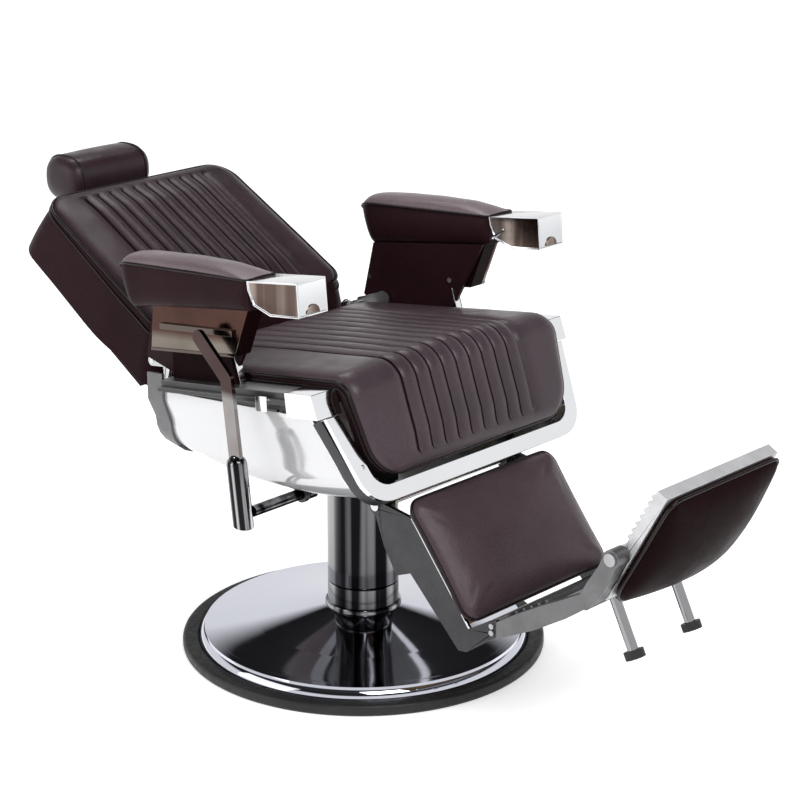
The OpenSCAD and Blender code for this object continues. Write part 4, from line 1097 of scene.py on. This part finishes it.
def build_arm(side, tag):
    """End box with its notch and scoop, and the bright strips at the foot and edge of the arm."""
    box = [(-186, 737), (-181, 796), (-62, 779), (-64, 764), (-78, 739), (-118, 728)]
    # The sunk windows take the dark brown metal: painted shade and painted reflection.
    prism(f"arm_box_detail_{tag}", box, 275, 343, ["box_chrome", "recess_shade_reflection"], "seat", (f"arm_box_{tag}",),
          side=side, inset=[("outer", 2.2, 1.6, 1), ("inner", 2.2, 1.6, 1), ("wall0", 3.6, 1.0, 0)])
    # The notch is lined with the same painted shade and painted reflection.
    a = np.linspace(0, math.pi, 25)
    notch = []
    for out, k in ((-0.6, 1.0), (0.25, 1.0), (0.5, 0.93), (0.3, 0.8)):
        r = NOTCH_R * k
        notch.append(np.stack([side * ARM_X + r * np.cos(a), -186.1 - out + r * np.sin(a) * NOTCH_LEAN,
                               741 + r * np.sin(a)], -1) / 1000)
    loft(f"arm_notch_{tag}", notch, ["recess_shade_reflection"], "seat", angle=40)
    a = np.linspace(0, 2 * math.pi, 32, endpoint=False)
    scoop = [np.stack([np.full(a.size, side * (275.3 - out)), -84 + 17 * k * np.cos(a) - 5 * k * np.sin(a),
                       749 + 7.5 * k * np.sin(a) - 11 * k * np.cos(a)], -1) / 1000
             for out, k in ((-1.0, 1.0), (0.3, 1.0), (0.6, 0.92), (0.2, 0.7), (0.0, 0.4))]
    loft(f"arm_scoop_{tag}", scoop, ["chrome"], "seat", angle=50)
    foot = [(14, above_seat(14, RAIL_TOP) + 0.3), (32, above_seat(32, RAIL_TOP) + 55),
            (29, above_seat(32, RAIL_TOP) + 56), (10.8, above_seat(11, RAIL_TOP) + 0.3)]
    prism(f"arm_foot_strip_{tag}", foot, 278, 292, ["chrome"], "seat", bevel=0.0006, side=side)
    rear, front = above_seat(205, RAIL_TOP), [above_seat(y, RAIL_TOP) for y in (-13, -10)]
    edge = [(203.6, rear + 57), (203, rear + 62.5), (-13, front[0] + 62.5), (-10, front[1] + 57)]
    prism(f"arm_edge_strip_{tag}", edge, 325.05, 326.6, ["trim"], "seat", bevel=0.0004, side=side)


# Back board and inner panel take the painted shaded copy of the leather, the arm core the darker painted
# shaded one.
FINISH = {
    "back_board": "leather_shaded_side", "arm_core": "leather_shaded_dark", "inner_panel": "leather_shaded_side",
    # arm_plate and lever_steel carry painted reflection bands.
    "arm_panel": "arm_plate", "trim_bar": "trim", "lever_bar": "lever_steel", "lever_tube": "tube_chrome",
    "hinge_straps": "satin", "rear_frame": "cast_mid", "calf_plates": "cast_dark", "tray": "cast_mid",
    "tray_clips": "cast", "legs": "leg_chrome", "footrest_frame": "silver", "footrest_pins": "cast",
}


def plain_normals():
    """Node group that drops the imported normals and sharp marks from what is shown, not from the mesh."""
    group = bpy.data.node_groups.new("plain_normals", "GeometryNodeTree")
    for way in ("INPUT", "OUTPUT"):
        group.interface.new_socket("Geometry", in_out=way, socket_type="NodeSocketGeometry")
    last = group.nodes.new("NodeGroupInput").outputs[0]
    for attribute in ("custom_normal", "sharp_edge", "sharp_face"):
        drop = group.nodes.new("GeometryNodeRemoveAttribute")
        drop.inputs["Name"].default_value = attribute
        link(group, last, drop.inputs["Geometry"])
        last = drop.outputs[0]
    link(group, last, group.nodes.new("NodeGroupOutput").inputs[0])
    return group


def dress_metal():
    """Gives every CAD node its finish, and softened edges by modifiers. No CAD mesh is edited."""
    group = plain_normals()
    for name, ob in NODES.items():
        slot = ob.data.materials[0].name.split(".")[0]
        finish = FINISH.get(name.removesuffix("_l").removesuffix("_r"), slot)
        ob.material_slots[0].material = MATS[finish]
        if finish == "plywood":
            continue
        ob.modifiers.new("plain", "NODES").node_group = group
        weld = ob.modifiers.new("weld", "WELD")
        weld.merge_threshold = 0.00001
        bevel = ob.modifiers.new("edge", "BEVEL")
        bevel.width = 0.0008
        bevel.segments = 2
        bevel.limit_method = "ANGLE"
        bevel.angle_limit = math.radians(28)
        bevel.harden_normals = True


dress_metal()
build_base()
build_tub()
build_frame_shade_strip()
build_seat()
build_back()
build_headrest()
for side, tag in SIDES:
    build_arm_pad(side, tag)
    build_arm(side, tag)
    build_rail(side, tag)
# The calf pad takes a painted lit copy of the leather, the footrest pad a darker painted shaded one.
pillow("calf_cushion", lambda x, h, s: on_calf(x, -67.6 - h, -s), "leather_lit_calf", "calf", ("calf_pad",),
       half=190.5, start=28, end=257, radius=27, edge=11, top=29, crown=17, roundness=40)
pillow("foot_cushion", lambda x, h, s: on_foot(x, -17.3 - h, s), "leather_shaded_dark", "footrest",
       ("footrest_pad",), half=151.5, start=-98, end=139, radius=24, edge=9, top=18, crown=37, roundness=34,
       low_radius=52, fullness=0.8)
# The bright front edges of the calf plates, in metres.
PLATE_OUT, PLATE_EDGE = 0.1832, ((-0.2905, 0.3705), (-0.4225, 0.2055))
for side, tag in SIDES:
    tube(f"plate_edge_{tag}", [(side * PLATE_OUT, *end) for end in PLATE_EDGE], 0.0016, "polished", "calf")
screw("frame_screw_r", (-0.2850, -0.2735, 0.486), (-0.1, -0.88, 0.47), 0.004, "seat")
